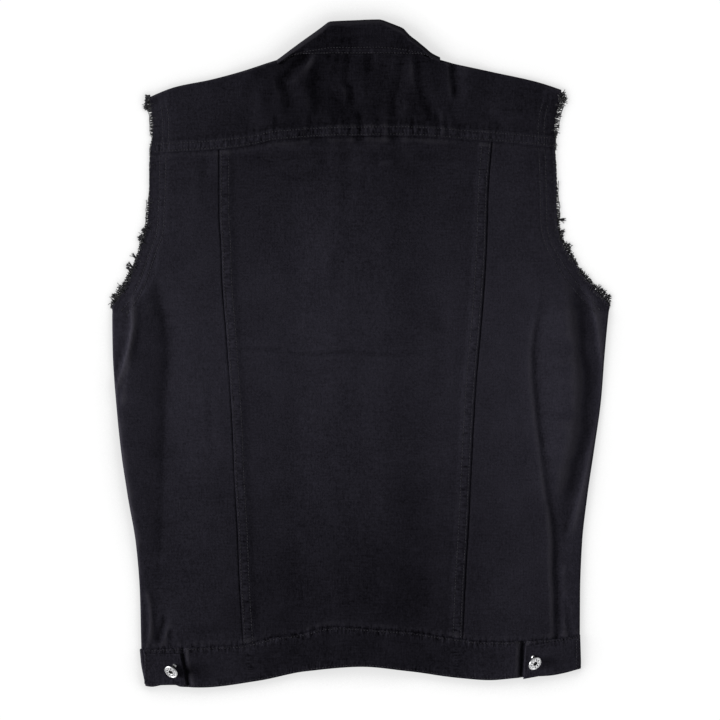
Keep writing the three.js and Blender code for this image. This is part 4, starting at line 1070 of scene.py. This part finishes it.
def yoke_across(column, y):
    first, final = YOKE_ENDS
    near_left = 1 - smooth(column, first, first + YOKE_BLEND)
    near_right = smooth(column, final - YOKE_BLEND, final)
    return (column + near_left * (EDGE["left"](y) - first)
            + near_right * (EDGE["right"](y) - final))


def yoke_lift(x, y):
    """The yoke's felled lower edge, its gathers and the lumps where it crosses the panel seams."""
    d = y - yoke_seam(x)
    band = 1 - smooth(d, *FELL_ENDS["yoke"])
    crossing = sum(strip((x - SEAM[side](yoke_seam(x))) * away, *SEAM_CROSSING)
                   for side, away in AWAY.items())
    above = gathers("above yoke edge", x, np.maximum(d - FELL_WIDTH, 0)) * (1 - band)
    return (band * (FELL_RISE + gathers("yoke edge", x, d) + crossing) + above
            - rounded(d) - grooves(d, "yoke"))


def yoke_top(x, y):
    lifted = back_top(x, y) + yoke_lift(x, y)
    return lifted - armhole_grooves("left", x, y) - armhole_grooves("right", x, y)


def back_yoke():
    column = steps(*YOKE_ENDS, YOKE_COLUMNS)
    turned = np.where(column < 0, 1 - smooth(column, *NECK_SIDES[0]), smooth(column, *NECK_SIDES[1]))
    bottom = yoke_seam(yoke_across(column, yoke_seam(column)))
    out, drop, reach = roll_end(np.full(len(column), ROLL_HEIGHT), turned)
    last = top_line(column) - lerp(NECK_INSET, 0, turned) - reach
    near = np.array(YOKE_NEAR)[:, None] + bottom
    y = np.vstack([near, lerp(near[-1], last, steps(0, 1, YOKE_ROWS)[1:, None])])
    x = yoke_across(column, y)
    z = yoke_top(x, y)
    last_z = z[-1:]
    roll_z = last_z - drop.T * lerp(1, last_z / ROLL_HEIGHT, turned)
    roll = grid(x[-1:], last + out.T, np.maximum(roll_z, OUTER_LOWEST))
    outer = np.concatenate([grid(x, y, z), roll], 0)
    ragged = rippled(outer[:, :, 1], "yoke")
    outer[:, 0, 0] -= ragged[:, 0]
    outer[:, -1, 0] += ragged[:, -1]
    piece = cloth("back_yoke_cloth", outer, CLOTH, "back_yoke")


# Waistband and tabs

def band_row(x, share):
    return lerp(waist_seam(x), hem_line(x), share)


def band_top(x, y):
    return under(x, y) + swell(x, y) + BAND_RISE


def band_lift(x, share):
    """The waistband's turned edges, its stitched rows and gathers."""
    width = waist_seam(x) - hem_line(x)
    from_top = share * width
    from_hem = (1 - share) * width
    return (gathers("band top", x, from_top) + gathers("band hem", x + BAND_HEM_SHIFT, from_hem)
            - rounded(from_top) - rounded(from_hem)
            - groove(from_top - EDGE_ROW) - groove(from_hem - EDGE_ROW, SHALLOW))


def tab_slot(x, y):
    """The waistband dips at each tab's free end, where the button pulls it, and swells past it."""
    total = 0
    start, full, end = TAB_SLOT["past"]
    for side, shape in TABS.items():
        top, bottom = shape["top"][1], shape["bottom"][1]
        free_end = lerp(*shape["far"], np.clip((top - y) / (top - bottom), 0, 1))
        past = (free_end - x) * AWAY[side]
        risen = TAB_SLOT["swell"] * smooth(past, start, full) * (1 - smooth(past, full, end))
        total = total + strip(past, TAB_SLOT["depth"][side], TAB_SLOT["off"], TAB_SLOT["half"]) - risen
    return total


def waistband():
    near = np.array(BAND_NEAR) / BAND_WIDTH
    between = steps(near[-1], 1 - near[-1], BAND_LANES)[1:-1]
    share = np.r_[near, between, 1 - near[::-1]][:, None]
    rolls = {}
    for side, away in AWAY.items():
        edge_x = EDGE[side](band_row(away * BAND_END, share)) + away * lerp(*BAND_PAST[side], share)
        height = band_top(edge_x - away * ROLL_REACH, band_row(edge_x, share))
        out, drop, reach = roll_end(height[:, 0], np.ones(len(share)))
        start = edge_x - away * reach[:, None]
        rolls[side] = start, start + away * out, height - drop
    x = lerp(rolls["left"][0], rolls["right"][0], steps(0, 1, BAND_COLUMNS))
    y = band_row(x, share)
    z = band_top(x, y) + band_lift(x, share) - tab_slot(x, y) + mottled(x, y, "waistband")

    def meeting(roll_z, last_z):
        """A roll's heights, scaled so that it starts where the face ends."""
        first = roll_z[:, :1]
        return roll_z + (last_z - first) * (roll_z / first)
    left_z = meeting(rolls["left"][2], z[:, :1])[:, ::-1]
    right_z = meeting(rolls["right"][2], z[:, -1:])
    all_x = np.c_[rolls["left"][1][:, ::-1], x, rolls["right"][1]]
    all_z = np.maximum(np.c_[left_z, z, right_z], OUTER_LOWEST)
    outer = grid(all_x, band_row(all_x, share), all_z)
    piece = cloth("back_waistband_cloth", outer, BAND_CLOTH, "back_waistband")
    rows = [nearest(part[:, 0] * BAND_WIDTH, EDGE_ROW) for part in (share, 1 - share)]
    sew("waistband_stitching", [outer[row, BAND_TRIM:-BAND_TRIM] for row in rows], SEEDS["waistband"])


def tab_top(side, x, y):
    """Outer face of a tab; its near end turns down with the waistband's roll."""
    shape = TABS[side]
    radius = ROLL_REACH + BAND_RISE / 2
    past = (x - EDGE[side](y)) * AWAY[side] - BAND_PAST[side][0] + radius
    turned = radius - np.sqrt(radius ** 2 - np.clip(past, 0, TAB_TURN * radius) ** 2)
    along = (x - shape["near"]) / (np.mean(shape["far"]) - shape["near"])
    return band_top(x, y) + GAP + TAB_CLOTH + TAB_LIFT * np.clip(along, 0, TAB_PAST) ** 2 - turned


def tab(side):
    shape = TABS[side]
    near = np.array(TAB_NEAR)
    t, down = np.meshgrid(*(crowded(near / size, gap, count)
                            for size, gap, count in (TAB_ALONG, TAB_ACROSS)))
    x = lerp(shape["near"], lerp(*shape["far"], down), t)
    y = lerp(lerp(*shape["top"], t), lerp(*shape["bottom"], t), down)
    inset = np.minimum(np.minimum(t, 1 - t) * TAB_ALONG[0], np.minimum(down, 1 - down) * TAB_ACROSS[0])
    lift = mottled(x, y, "tab") - rounded(inset, THICK_ROUND) - groove(inset - TAB_ROW, TAB_GROOVE)
    button_x, button_y = TAB_BUTTONS[side]["at"]
    pull = TAB_PULL * np.exp(-((x - button_x) ** 2 + (y - button_y) ** 2) / TAB_PULL_AREA)
    outer = grid(x, y, tab_top(side, x, y) + lift - pull)
    piece = cloth(f"adjuster_tab_{side}_cloth", outer, TAB_CLOTH, f"adjuster_tab_{side}")
    # One row of stitches, by the end that is sewn into the side
    row = nearest(near, TAB_ROW)
    sewn = np.vstack([outer[row, :row], outer[row:-row - 1, row], outer[-row - 1, row::-1]])
    sew(f"adjuster_tab_{side}_stitching", [sewn], SEEDS["tab"])


# Collar

def collar():
    x = steps(COLLAR[0][0], COLLAR[-1][0], COLLAR_COLUMNS)
    low, fold, end, high, bottom = (curve(COLLAR, k)(x) for k in range(1, 6))
    out, drop, reach = roll_end(high - bottom, np.ones(len(x)), 0)
    out, drop = out[:, :ROLL_STEPS].T, drop[:, :ROLL_STEPS].T
    last = fold - reach
    first = np.minimum(low, last - LEAF_SHORTEST)
    t = steps(0, 1, COLLAR_ROWS)[:, None] ** COLLAR_CROWDING
    y = lerp(first, last, t)

    def rest(y):
        near = [back_top(x + off, np.minimum(y, top_line(x) - 1)) for off in COLLAR_RESTS]
        return np.max(near, axis=0) + COLLAR_LIFT + COLLAR_CLOTH
    rise = smooth(t, 0, 1)
    z = np.maximum(lerp(rest(first), high, rise), np.minimum(rest(y), high))
    z[-1] = high
    from_edge = y - first
    wave = COLLAR_WAVES["height"] * puckers(x, COLLAR_WAVES["pitch"], COLLAR_WAVES["seed"])
    wavy = wave * np.sin(math.pi * np.clip(from_edge / COLLAR_WAVES["reach"], 0, 1))
    z += (wavy + gathers("collar edge", x, from_edge) + mottled(x, y, "collar")
          - rounded(from_edge, THICK_ROUND) - grooves(from_edge, "collar")) * (1 - rise ** COLLAR_SMOOTHING)
    leaf = grid(x, y, z)
    sewn = np.where(end > UNDER_YOKE, back_top(x, np.full(len(x), SEWN_TO_YOKE)) - COLLAR_CLOTH, bottom)
    tail_t = steps(0, 1, COLLAR_TAIL_ROWS)[1:, None]
    tail_y = lerp(last + out[-1], np.minimum(end, last - TAIL_SHORTEST), tail_t)
    tail_z = lerp(bottom, np.maximum(bottom, sewn), smooth(tail_t, *TAIL_RISES))
    outer = np.concatenate([leaf, grid(x, last + out, high - drop), grid(x, tail_y, tail_z)], 0)
    piece = cloth("collar_cloth", outer, COLLAR_CLOTH, "collar")
    lines = [leaf[nearest(from_edge[:, COLLAR_COLUMNS // 2], row), trim:-trim]
             for row, trim in zip(ROWS["collar"], COLLAR_TRIM)]
    sew("collar_stitching", lines, SEEDS["collar"])


def collar_point(side, outline):
    """A front end of the collar, which lies flat under the front."""
    form = bmesh.new()
    corners = [form.verts.new((px * MM, py * MM, WING_LOW * MM)) for px, py in outline]
    face = form.faces.new(corners)
    raised = bmesh.ops.extrude_face_region(form, geom=[face])["geom"]
    moved = [v for v in raised if isinstance(v, bmesh.types.BMVert)]
    bmesh.ops.translate(form, verts=moved, vec=(0, 0, (WING_THICK - WING_LOW) * MM))
    bmesh.ops.bevel(form, geom=list(form.edges), offset=WING_ROUND * MM, segments=3, affect="EDGES")
    bmesh.ops.recalc_face_normals(form, faces=list(form.faces))
    mesh = bpy.data.meshes.new(f"collar_point_{side}")
    form.to_mesh(mesh)
    form.free()
    piece = bpy.data.objects.new(f"collar_point_{side}", mesh)
    bpy.context.scene.collection.objects.link(piece)
    dress(piece, "denim", "denim", "collar")


# Front, under the back

def front(side):
    away = AWAY[side]
    t = steps(0, 1, FRONT_COLUMNS)
    up = steps(0, 1, FRONT_ROWS)[:, None]

    def top_at(x):
        neck_x = -np.abs(x - NECK["x"]) + NECK["x"]
        shoulder = top_line(x) - ROLL_REACH - ROLL_TAIL - GAP
        return np.where(neck_x > FRONT_NECKLINE[0][0], np.minimum(shoulder, neckline(neck_x)), shoulder)
    x = np.full((FRONT_ROWS, FRONT_COLUMNS), away * FRONT_START)
    for _ in range(FRONT_SETTLINGS):
        y = lerp(waist_seam(x) + GAP, top_at(x), up)
        x = lerp(away * (PLACKET_HALF - FRONT_LAP), EDGE[side](y) - away * FRONT_INSET, t)
    uneven = (FRONT_UNEVEN + mottled(x, y, "front")) * np.minimum(1, FRONT_EVENED * up * (1 - up))
    tuck = FRONT_TUCK * (1 - smooth(np.abs(x), *FRONT_TUCKED))
    outer = grid(x, y, under(x, y) + uneven + tuck)
    piece = cloth(f"front_{side}_cloth", outer, FRONT_CLOTH, f"front_{side}", upward=False)


def turned_under(inset):
    """How far a hidden band's edge rises as it turns under."""
    return UNDER_TURN * rounded(inset, UNDER_ROUND)


def placket(name, half_right, layer, solid):
    foot = max(waist_seam(-PLACKET_HALF), waist_seam(PLACKET_HALF)) + PLACKET_CLEAR
    near = np.array(PLACKET_NEAR)
    between = steps(PLACKET_GAP - PLACKET_HALF, half_right - PLACKET_GAP, PLACKET_LANES)
    x = np.r_[near - PLACKET_HALF, between, half_right - near[::-1]]
    x, y = np.meshgrid(x, steps(foot, PLACKET_TOP, PLACKET_ROWS))
    inset = np.minimum(x + PLACKET_HALF, half_right - x)
    z = layer + turned_under(inset) + groove(inset - EDGE_ROW, SHALLOW)
    outer = grid(x, y, z)
    piece = cloth(name, outer, PLACKET_CLOTH, solid, upward=False)
    return outer


def plackets():
    low = placket("buttonhole_band_cloth", PLACKET_HALF, PLACKET_RISE, "buttonhole_band")
    placket("button_band_cloth", PLACKET_HALF + PLACKET_LAP, PLACKET_RISE + PLACKET_APART, "button_band")
    lane, off, drop = PLACKET_SEWN
    rows = [low[:, lane] + (off, 0, drop), low[:, -1 - lane] + (-off, 0, drop)]
    sew("placket_stitching", rows, SEEDS["placket"])


def front_waistband(side):
    away = AWAY[side]
    lap = 0 if side == "left" else FRONT_BAND_CLOTH + GAP + BAND_ROOM
    down = crowded(np.array(FRONT_BAND_NEAR), *FRONT_BAND_LANES)[:, None]
    last = (EDGE[side](band_row(away * BAND_END, down))
            + away * (lerp(*BAND_PAST[side], down) - FRONT_INSET - BAND_CLEAR))
    x = lerp(-away * PLACKET_HALF, last, steps(0, 1, FRONT_BAND_COLUMNS))
    y = lerp(waist_seam(x) - GAP, hem_line(x), down)
    over = lap * (1 - smooth(x, PLACKET_FLAT, PLACKET_OVER))
    inset = np.minimum(down, 1 - down) * BAND_WIDTH
    outer = grid(x, y, under(x, y) + over + turned_under(inset))
    piece = cloth(f"front_waistband_{side}_cloth", outer, FRONT_BAND_CLOTH,
                  f"front_waistband_{side}", upward=False)


# Buttons

def lathe(profile, sides=72):
    """Points and faces of a turned form; its profile starts and ends on the axis."""
    r, z = np.array(profile, float).T
    turn = np.arange(sides) * 2 * math.pi / sides
    ring = np.stack([r[1:-1, None] * np.cos(turn), r[1:-1, None] * np.sin(turn),
                     np.repeat(z[1:-1, None], sides, 1)], -1).reshape(-1, 3)
    points = np.vstack([[0, 0, z[0]], ring, [0, 0, z[-1]]])
    index = 1 + np.arange(len(ring)).reshape(-1, sides)
    nearby = np.roll(index, -1, axis=1)
    quads = np.stack([index[:-1], nearby[:-1], nearby[1:], index[1:]], -1).reshape(-1, 4)
    first = np.stack([np.zeros(sides, int), nearby[0], index[0]], -1)
    last = np.stack([np.full(sides, len(points) - 1), index[-1], nearby[-1]], -1)
    return points, quads, np.vstack([first, last])


def merged(parts):
    """Several point and face sets as one."""
    starts = np.cumsum([0] + [len(points) for points, _, _ in parts])
    points = np.vstack([part[0] for part in parts])
    return points, *(np.vstack([part[k] + start for part, start in zip(parts, starts)])
                     for k in (1, 2))


def ticks():
    """Plain raised bars between the rim and the rivet, all round."""
    parts = []
    for k in range(TICKS):
        points, quads, tris = lathe(TICK, 8)
        points = points * (TICK_LONG if k % 3 else TICK_SHORT) + TICK_AT
        turn = 2 * math.pi * k / TICKS
        spin = np.array([[math.cos(turn), math.sin(turn), 0], [-math.sin(turn), math.cos(turn), 0],
                         [0, 0, 1]])
        parts.append((points @ spin, quads, tris))
    return parts


def leaned(points, lean, heading):
    axis = Vector((-math.sin(heading), math.cos(heading), 0))
    return points @ np.array(Matrix.Rotation(lean, 3, axis)).T


def tab_button(side):
    """A capped shank that leans as one, from a flange on the tab."""
    made = TAB_BUTTONS[side]
    lean, heading = math.radians(made["lean"]), math.radians(made["towards"])
    leg = lathe(LEG, 40)
    cap = lathe(CAP)
    flange = lathe(FLANGE, 40)
    points, quads, tris = merged([cap] + ticks())
    # The floor of the cap's hole is painted dark as shade, and the ticks dark as print
    dark = 1.0 * ((np.hypot(points[:, 0], points[:, 1]) < CAP_HOLE["reach"])
                  & (points[:, 2] < CAP_HOLE["below"]))
    dark[len(cap[0]):] = TICK_PRINT
    points, quads, tris = merged([(points + (0, 0, SHANK - CAP_SINK), quads, tris), leg])
    points = leaned(points, lean, heading)
    points[-len(leg[0]):, :2] += np.outer(1 - leg[0][:, 2] / SHANK, made["slip"])
    slipped = flange[0] + (*made["slip"], 0)
    points, quads, tris = merged([(points, quads, tris), (slipped, *flange[1:])])
    towards = np.array([math.cos(heading), math.sin(heading)])
    foot = made["at"] - SHANK * math.sin(lean) * towards
    height = float(tab_top(side, *foot))
    piece = make_mesh(f"tab_button_{side}_metal", points + (*foot, height), quads, tris)
    # Painted shadow on the flange's half towards the cap, and painted shade on the leg
    near_cap = smooth(flange[0][:, :2] @ towards, *FLANGE_SHADE)
    paint(piece, grime=np.r_[dark, np.full(len(leg[0]), LEG_PAINTED_SHADE), near_cap])
    dress(piece, "metal", "button_metal", f"tab_button_{side}")


def front_button(number):
    points, quads, tris = lathe(BACK_CAP, 56)
    name = f"front_button_{number + 1}"
    y = BUTTON_TOP - number * BUTTON_PITCH
    dress(make_mesh(f"{name}_metal", points + (0, y, 0), quads, tris), "metal", "button_metal", name)


# Frayed armholes

def cut_edge(side):
    """Looks up the cut edge at any height: how far out it is, its outward lean and its top."""
    y = steps(*CUT_EDGE)
    x = EDGE[side](y)
    lean = np.arctan(-np.gradient(x, y) * AWAY[side])
    top = back_top(x - CUT_INSET * AWAY[side], y)
    return lambda at: [np.interp(at, y, values) for values in (x, lean, top)]


def loose_threads(side, edge, y, heading, long, tangle, inset, rng):
    """Threads from the cut edge at heights y, curling as they go."""
    x, _, top = edge(y)
    many, turns = len(y), THREAD_POINTS - 1
    tangle = np.broadcast_to(tangle, many)[:, None]

    def shaken(size, columns):
        return rng.normal(0, 1, (many, columns)) * (size[0] + size[1] * tangle)
    heading = heading[:, None] + np.cumsum(shaken(CURL, 1) + shaken(WANDER, turns), 1)
    rise = rng.normal(*DROOP, (many, 1)) + np.cumsum(shaken(BOB, turns), 1)
    step = ((long + ROOT + inset) / turns)[:, None, None]
    away = AWAY[side]
    move = np.stack([away * np.cos(heading), np.sin(heading), RISE_SHARE * np.sin(rise)], -1) * step
    lift = np.where(inset > 0, INNER_LIFT, -ROOT_DEPTH)
    root = grid(x - away * (ROOT + inset), y - inset * np.sin(heading[:, 0]), top + lift)[:, None]
    paths = np.concatenate([root, root + np.cumsum(move, 1)], 1)
    paths[..., 2] = np.maximum(paths[..., 2], THREAD_LOWEST)
    return paths


def fringe_threads(side, edge, rng):
    """The fringe's own threads, placed by its table."""
    heights, reaches, density, tangles = np.array(FRINGE[side])[::-1].T
    fine = steps(heights[0], heights[-1], FRINGE_PLACES)
    _, lean, _ = edge(fine)
    dense = np.interp(fine, heights, density) / np.cos(lean)
    count = np.cumsum(dense) * (fine[1] - fine[0]) * FRINGE_FULLNESS
    many = int(count[-1])
    y = np.interp(np.arange(many) + rng.uniform(0, 1, many), count, fine)
    reach, tangle = (np.interp(y, heights, values) for values in (reaches, tangles))
    y = y + tangle * rippled(y, "fringe place")
    _, lean, _ = edge(y)
    scatter = rng.normal(0, 1, many) * (SCATTER[0] + SCATTER[1] * tangle)
    heading = lean * np.minimum(1, FOLLOWING[0] + FOLLOWING[1] * tangle) + scatter
    across = np.cos(lean) / np.maximum(np.cos(lean - heading), FRINGE_ACROSS)
    uneven = 1 + tangle * rippled(y, "fringe reach")
    long = reach * across * uneven * rng.uniform(*FRINGE_LONG, many) ** 0.5
    inner = rng.uniform(0, 1, many) < INNER_THREADS * tangle
    inset = np.where(inner, rng.uniform(*INNER_INSET, many), 0)
    return loose_threads(side, edge, y, heading, long, tangle, inset, rng)


def warp_threads(side, edge, rng):
    """Pieces of thread that still lie along the cut edge."""
    made = []
    for first, last, off in WARPS[side]:
        bounds = steps(first, last, 2 + int(abs(first - last) / WARP_PIECE))
        for high, low in zip(bounds, bounds[1:]):
            y = steps(high + rng.uniform(*WARP_PAST), low - rng.uniform(*WARP_PAST), THREAD_POINTS)
            x, _, top = edge(y)
            x = x + AWAY[side] * (off + WARP_SWAY * ripple(y, WARP_SWAY_PITCH, int(off * 10)))
            z = top - WARP_DEPTH + rippled(y, "warp height")
            made.append(grid(x, y, np.maximum(z, THREAD_LOWEST)))
    return np.array(made)


def frayed(side):
    """Loose threads along a cut armhole: combs of weft, threads across them, tufts and fuzz."""
    rng = np.random.default_rng(FRAY_SEED[side])
    edge = cut_edge(side)
    sets = [fringe_threads(side, edge, rng)]
    at, long, heading = np.repeat(SPIKES[side], SPIKE_THREADS, axis=0).T
    many = len(at)
    off = rng.uniform(-SPIKE_ROOT, SPIKE_ROOT, many)
    sets.append(loose_threads(side, edge, at + off, heading - off / long,
                              long * rng.uniform(*SPIKE_LONG, many), SPIKE_TANGLE, np.zeros(many),
                              rng))
    sets.append(warp_threads(side, edge, rng))
    paths = np.concatenate(sets)
    thick = rng.uniform(*YARN_UNEVEN, (len(paths), 1))
    radii = YARN * thick * steps(1, YARN_TIP, THREAD_POINTS)
    dress(tubes(f"armhole_fray_{side}_threads", paths, radii), "fray", "frayed_denim",
          f"armhole_fray_{side}")


# Sewing on the back

def on_surface(top, line):
    x, y = np.transpose(line)
    return grid(x, y, top(x, y))


def back_sewing():
    x = steps(YOKE_ENDS[0] + SEWN_IN, YOKE_ENDS[1] - SEWN_IN, YOKE_SEWN_POINTS)
    rows = [on_surface(yoke_top, np.c_[x, yoke_seam(x) + off]) for off in ROWS["yoke"]]
    sew("yoke_stitching", rows, SEEDS["yoke"])
    for side, away in AWAY.items():
        first = float(yoke_seam(SEAM[side](PANEL_SEWN[0]))) - SEWN_CLEAR
        last = float(waist_seam(SEAM[side](PANEL_SEWN[1]))) + SEWN_CLEAR
        y = steps(first, last, PANEL_SEWN_POINTS)
        rows = [on_surface(centre_top, np.c_[SEAM[side](y) - away * off, y]) for off in ROWS["panel"]]
        sew(f"panel_seam_{side}_stitching", rows, SEEDS["panel"] + away)
        rows = []
        for inset in ROWS["armhole"]:
            line = armhole_path(side, inset, *ARMHOLE_SEWN)
            above = line[:, 1] - yoke_seam(line[:, 0])
            inside = np.abs(line[:, 0]) < np.abs(EDGE[side](line[:, 1])) - SEWN_INSIDE
            rows.append(on_surface(yoke_top, line[above > SEWN_APART]))
            below = line[(above < -SEWN_APART) & inside]
            rows.append(on_surface(lambda px, py: side_top(side, px, py), below))
        sew(f"armhole_{side}_stitching", rows, SEEDS["armhole"] + away)


# Set

def add_lamp(name, place, size, power):
    light = bpy.data.lights.new(name, "AREA")
    light.size = size
    light.energy = power
    lamp = bpy.data.objects.new(name, light)
    bpy.context.scene.collection.objects.link(lamp)
    lamp.location = place
    lamp.rotation_mode = "QUATERNION"
    lamp.rotation_quaternion = (-Vector(place)).to_track_quat("-Z", "Y")
    lamp.visible_camera = False


def set_scene():
    scene = bpy.context.scene
    bpy.ops.mesh.primitive_plane_add(size=FLOOR_SIZE, location=(0, 0, 0))
    floor = bpy.context.object
    floor.name = "floor"
    floor.data.materials.append(floor_material())
    camera = bpy.data.objects.new("camera", bpy.data.cameras.new("camera"))
    scene.collection.objects.link(camera)
    camera.location = (0, PHOTO_CENTRE_Y * MM, CAMERA_HEIGHT * MM)
    camera.data.sensor_width = SENSOR
    camera.data.lens = SENSOR * CAMERA_HEIGHT / FRAME_WIDTH
    scene.camera = camera
    for row in LAMPS:
        add_lamp(*row)
    world = bpy.data.worlds.new("world")
    world.use_nodes = True
    tree = world.node_tree
    seen = node(tree, "ShaderNodeLightPath").outputs["Is Camera Ray"]
    background = tree.nodes["Background"]
    background.inputs["Color"].default_value = WHITE
    tree.links.new(ranged(tree, seen, 0, 1, WORLD_LIGHT, WORLD_SEEN), background.inputs["Strength"])
    scene.world = world
    scene.view_settings.view_transform = "Standard"


set_scene()
centre_panel()
side_panel("left")
side_panel("right")
back_yoke()
waistband()
collar()
collar_point("left", WING)
collar_point("right", [(2 * NECK["x"] - x, y) for x, y in WING])
for side in ("left", "right"):
    tab(side)
    tab_button(side)
    front(side)
    front_waistband(side)
    frayed(side)
plackets()
for number in range(BUTTON_COUNT):
    front_button(number)
back_sewing()
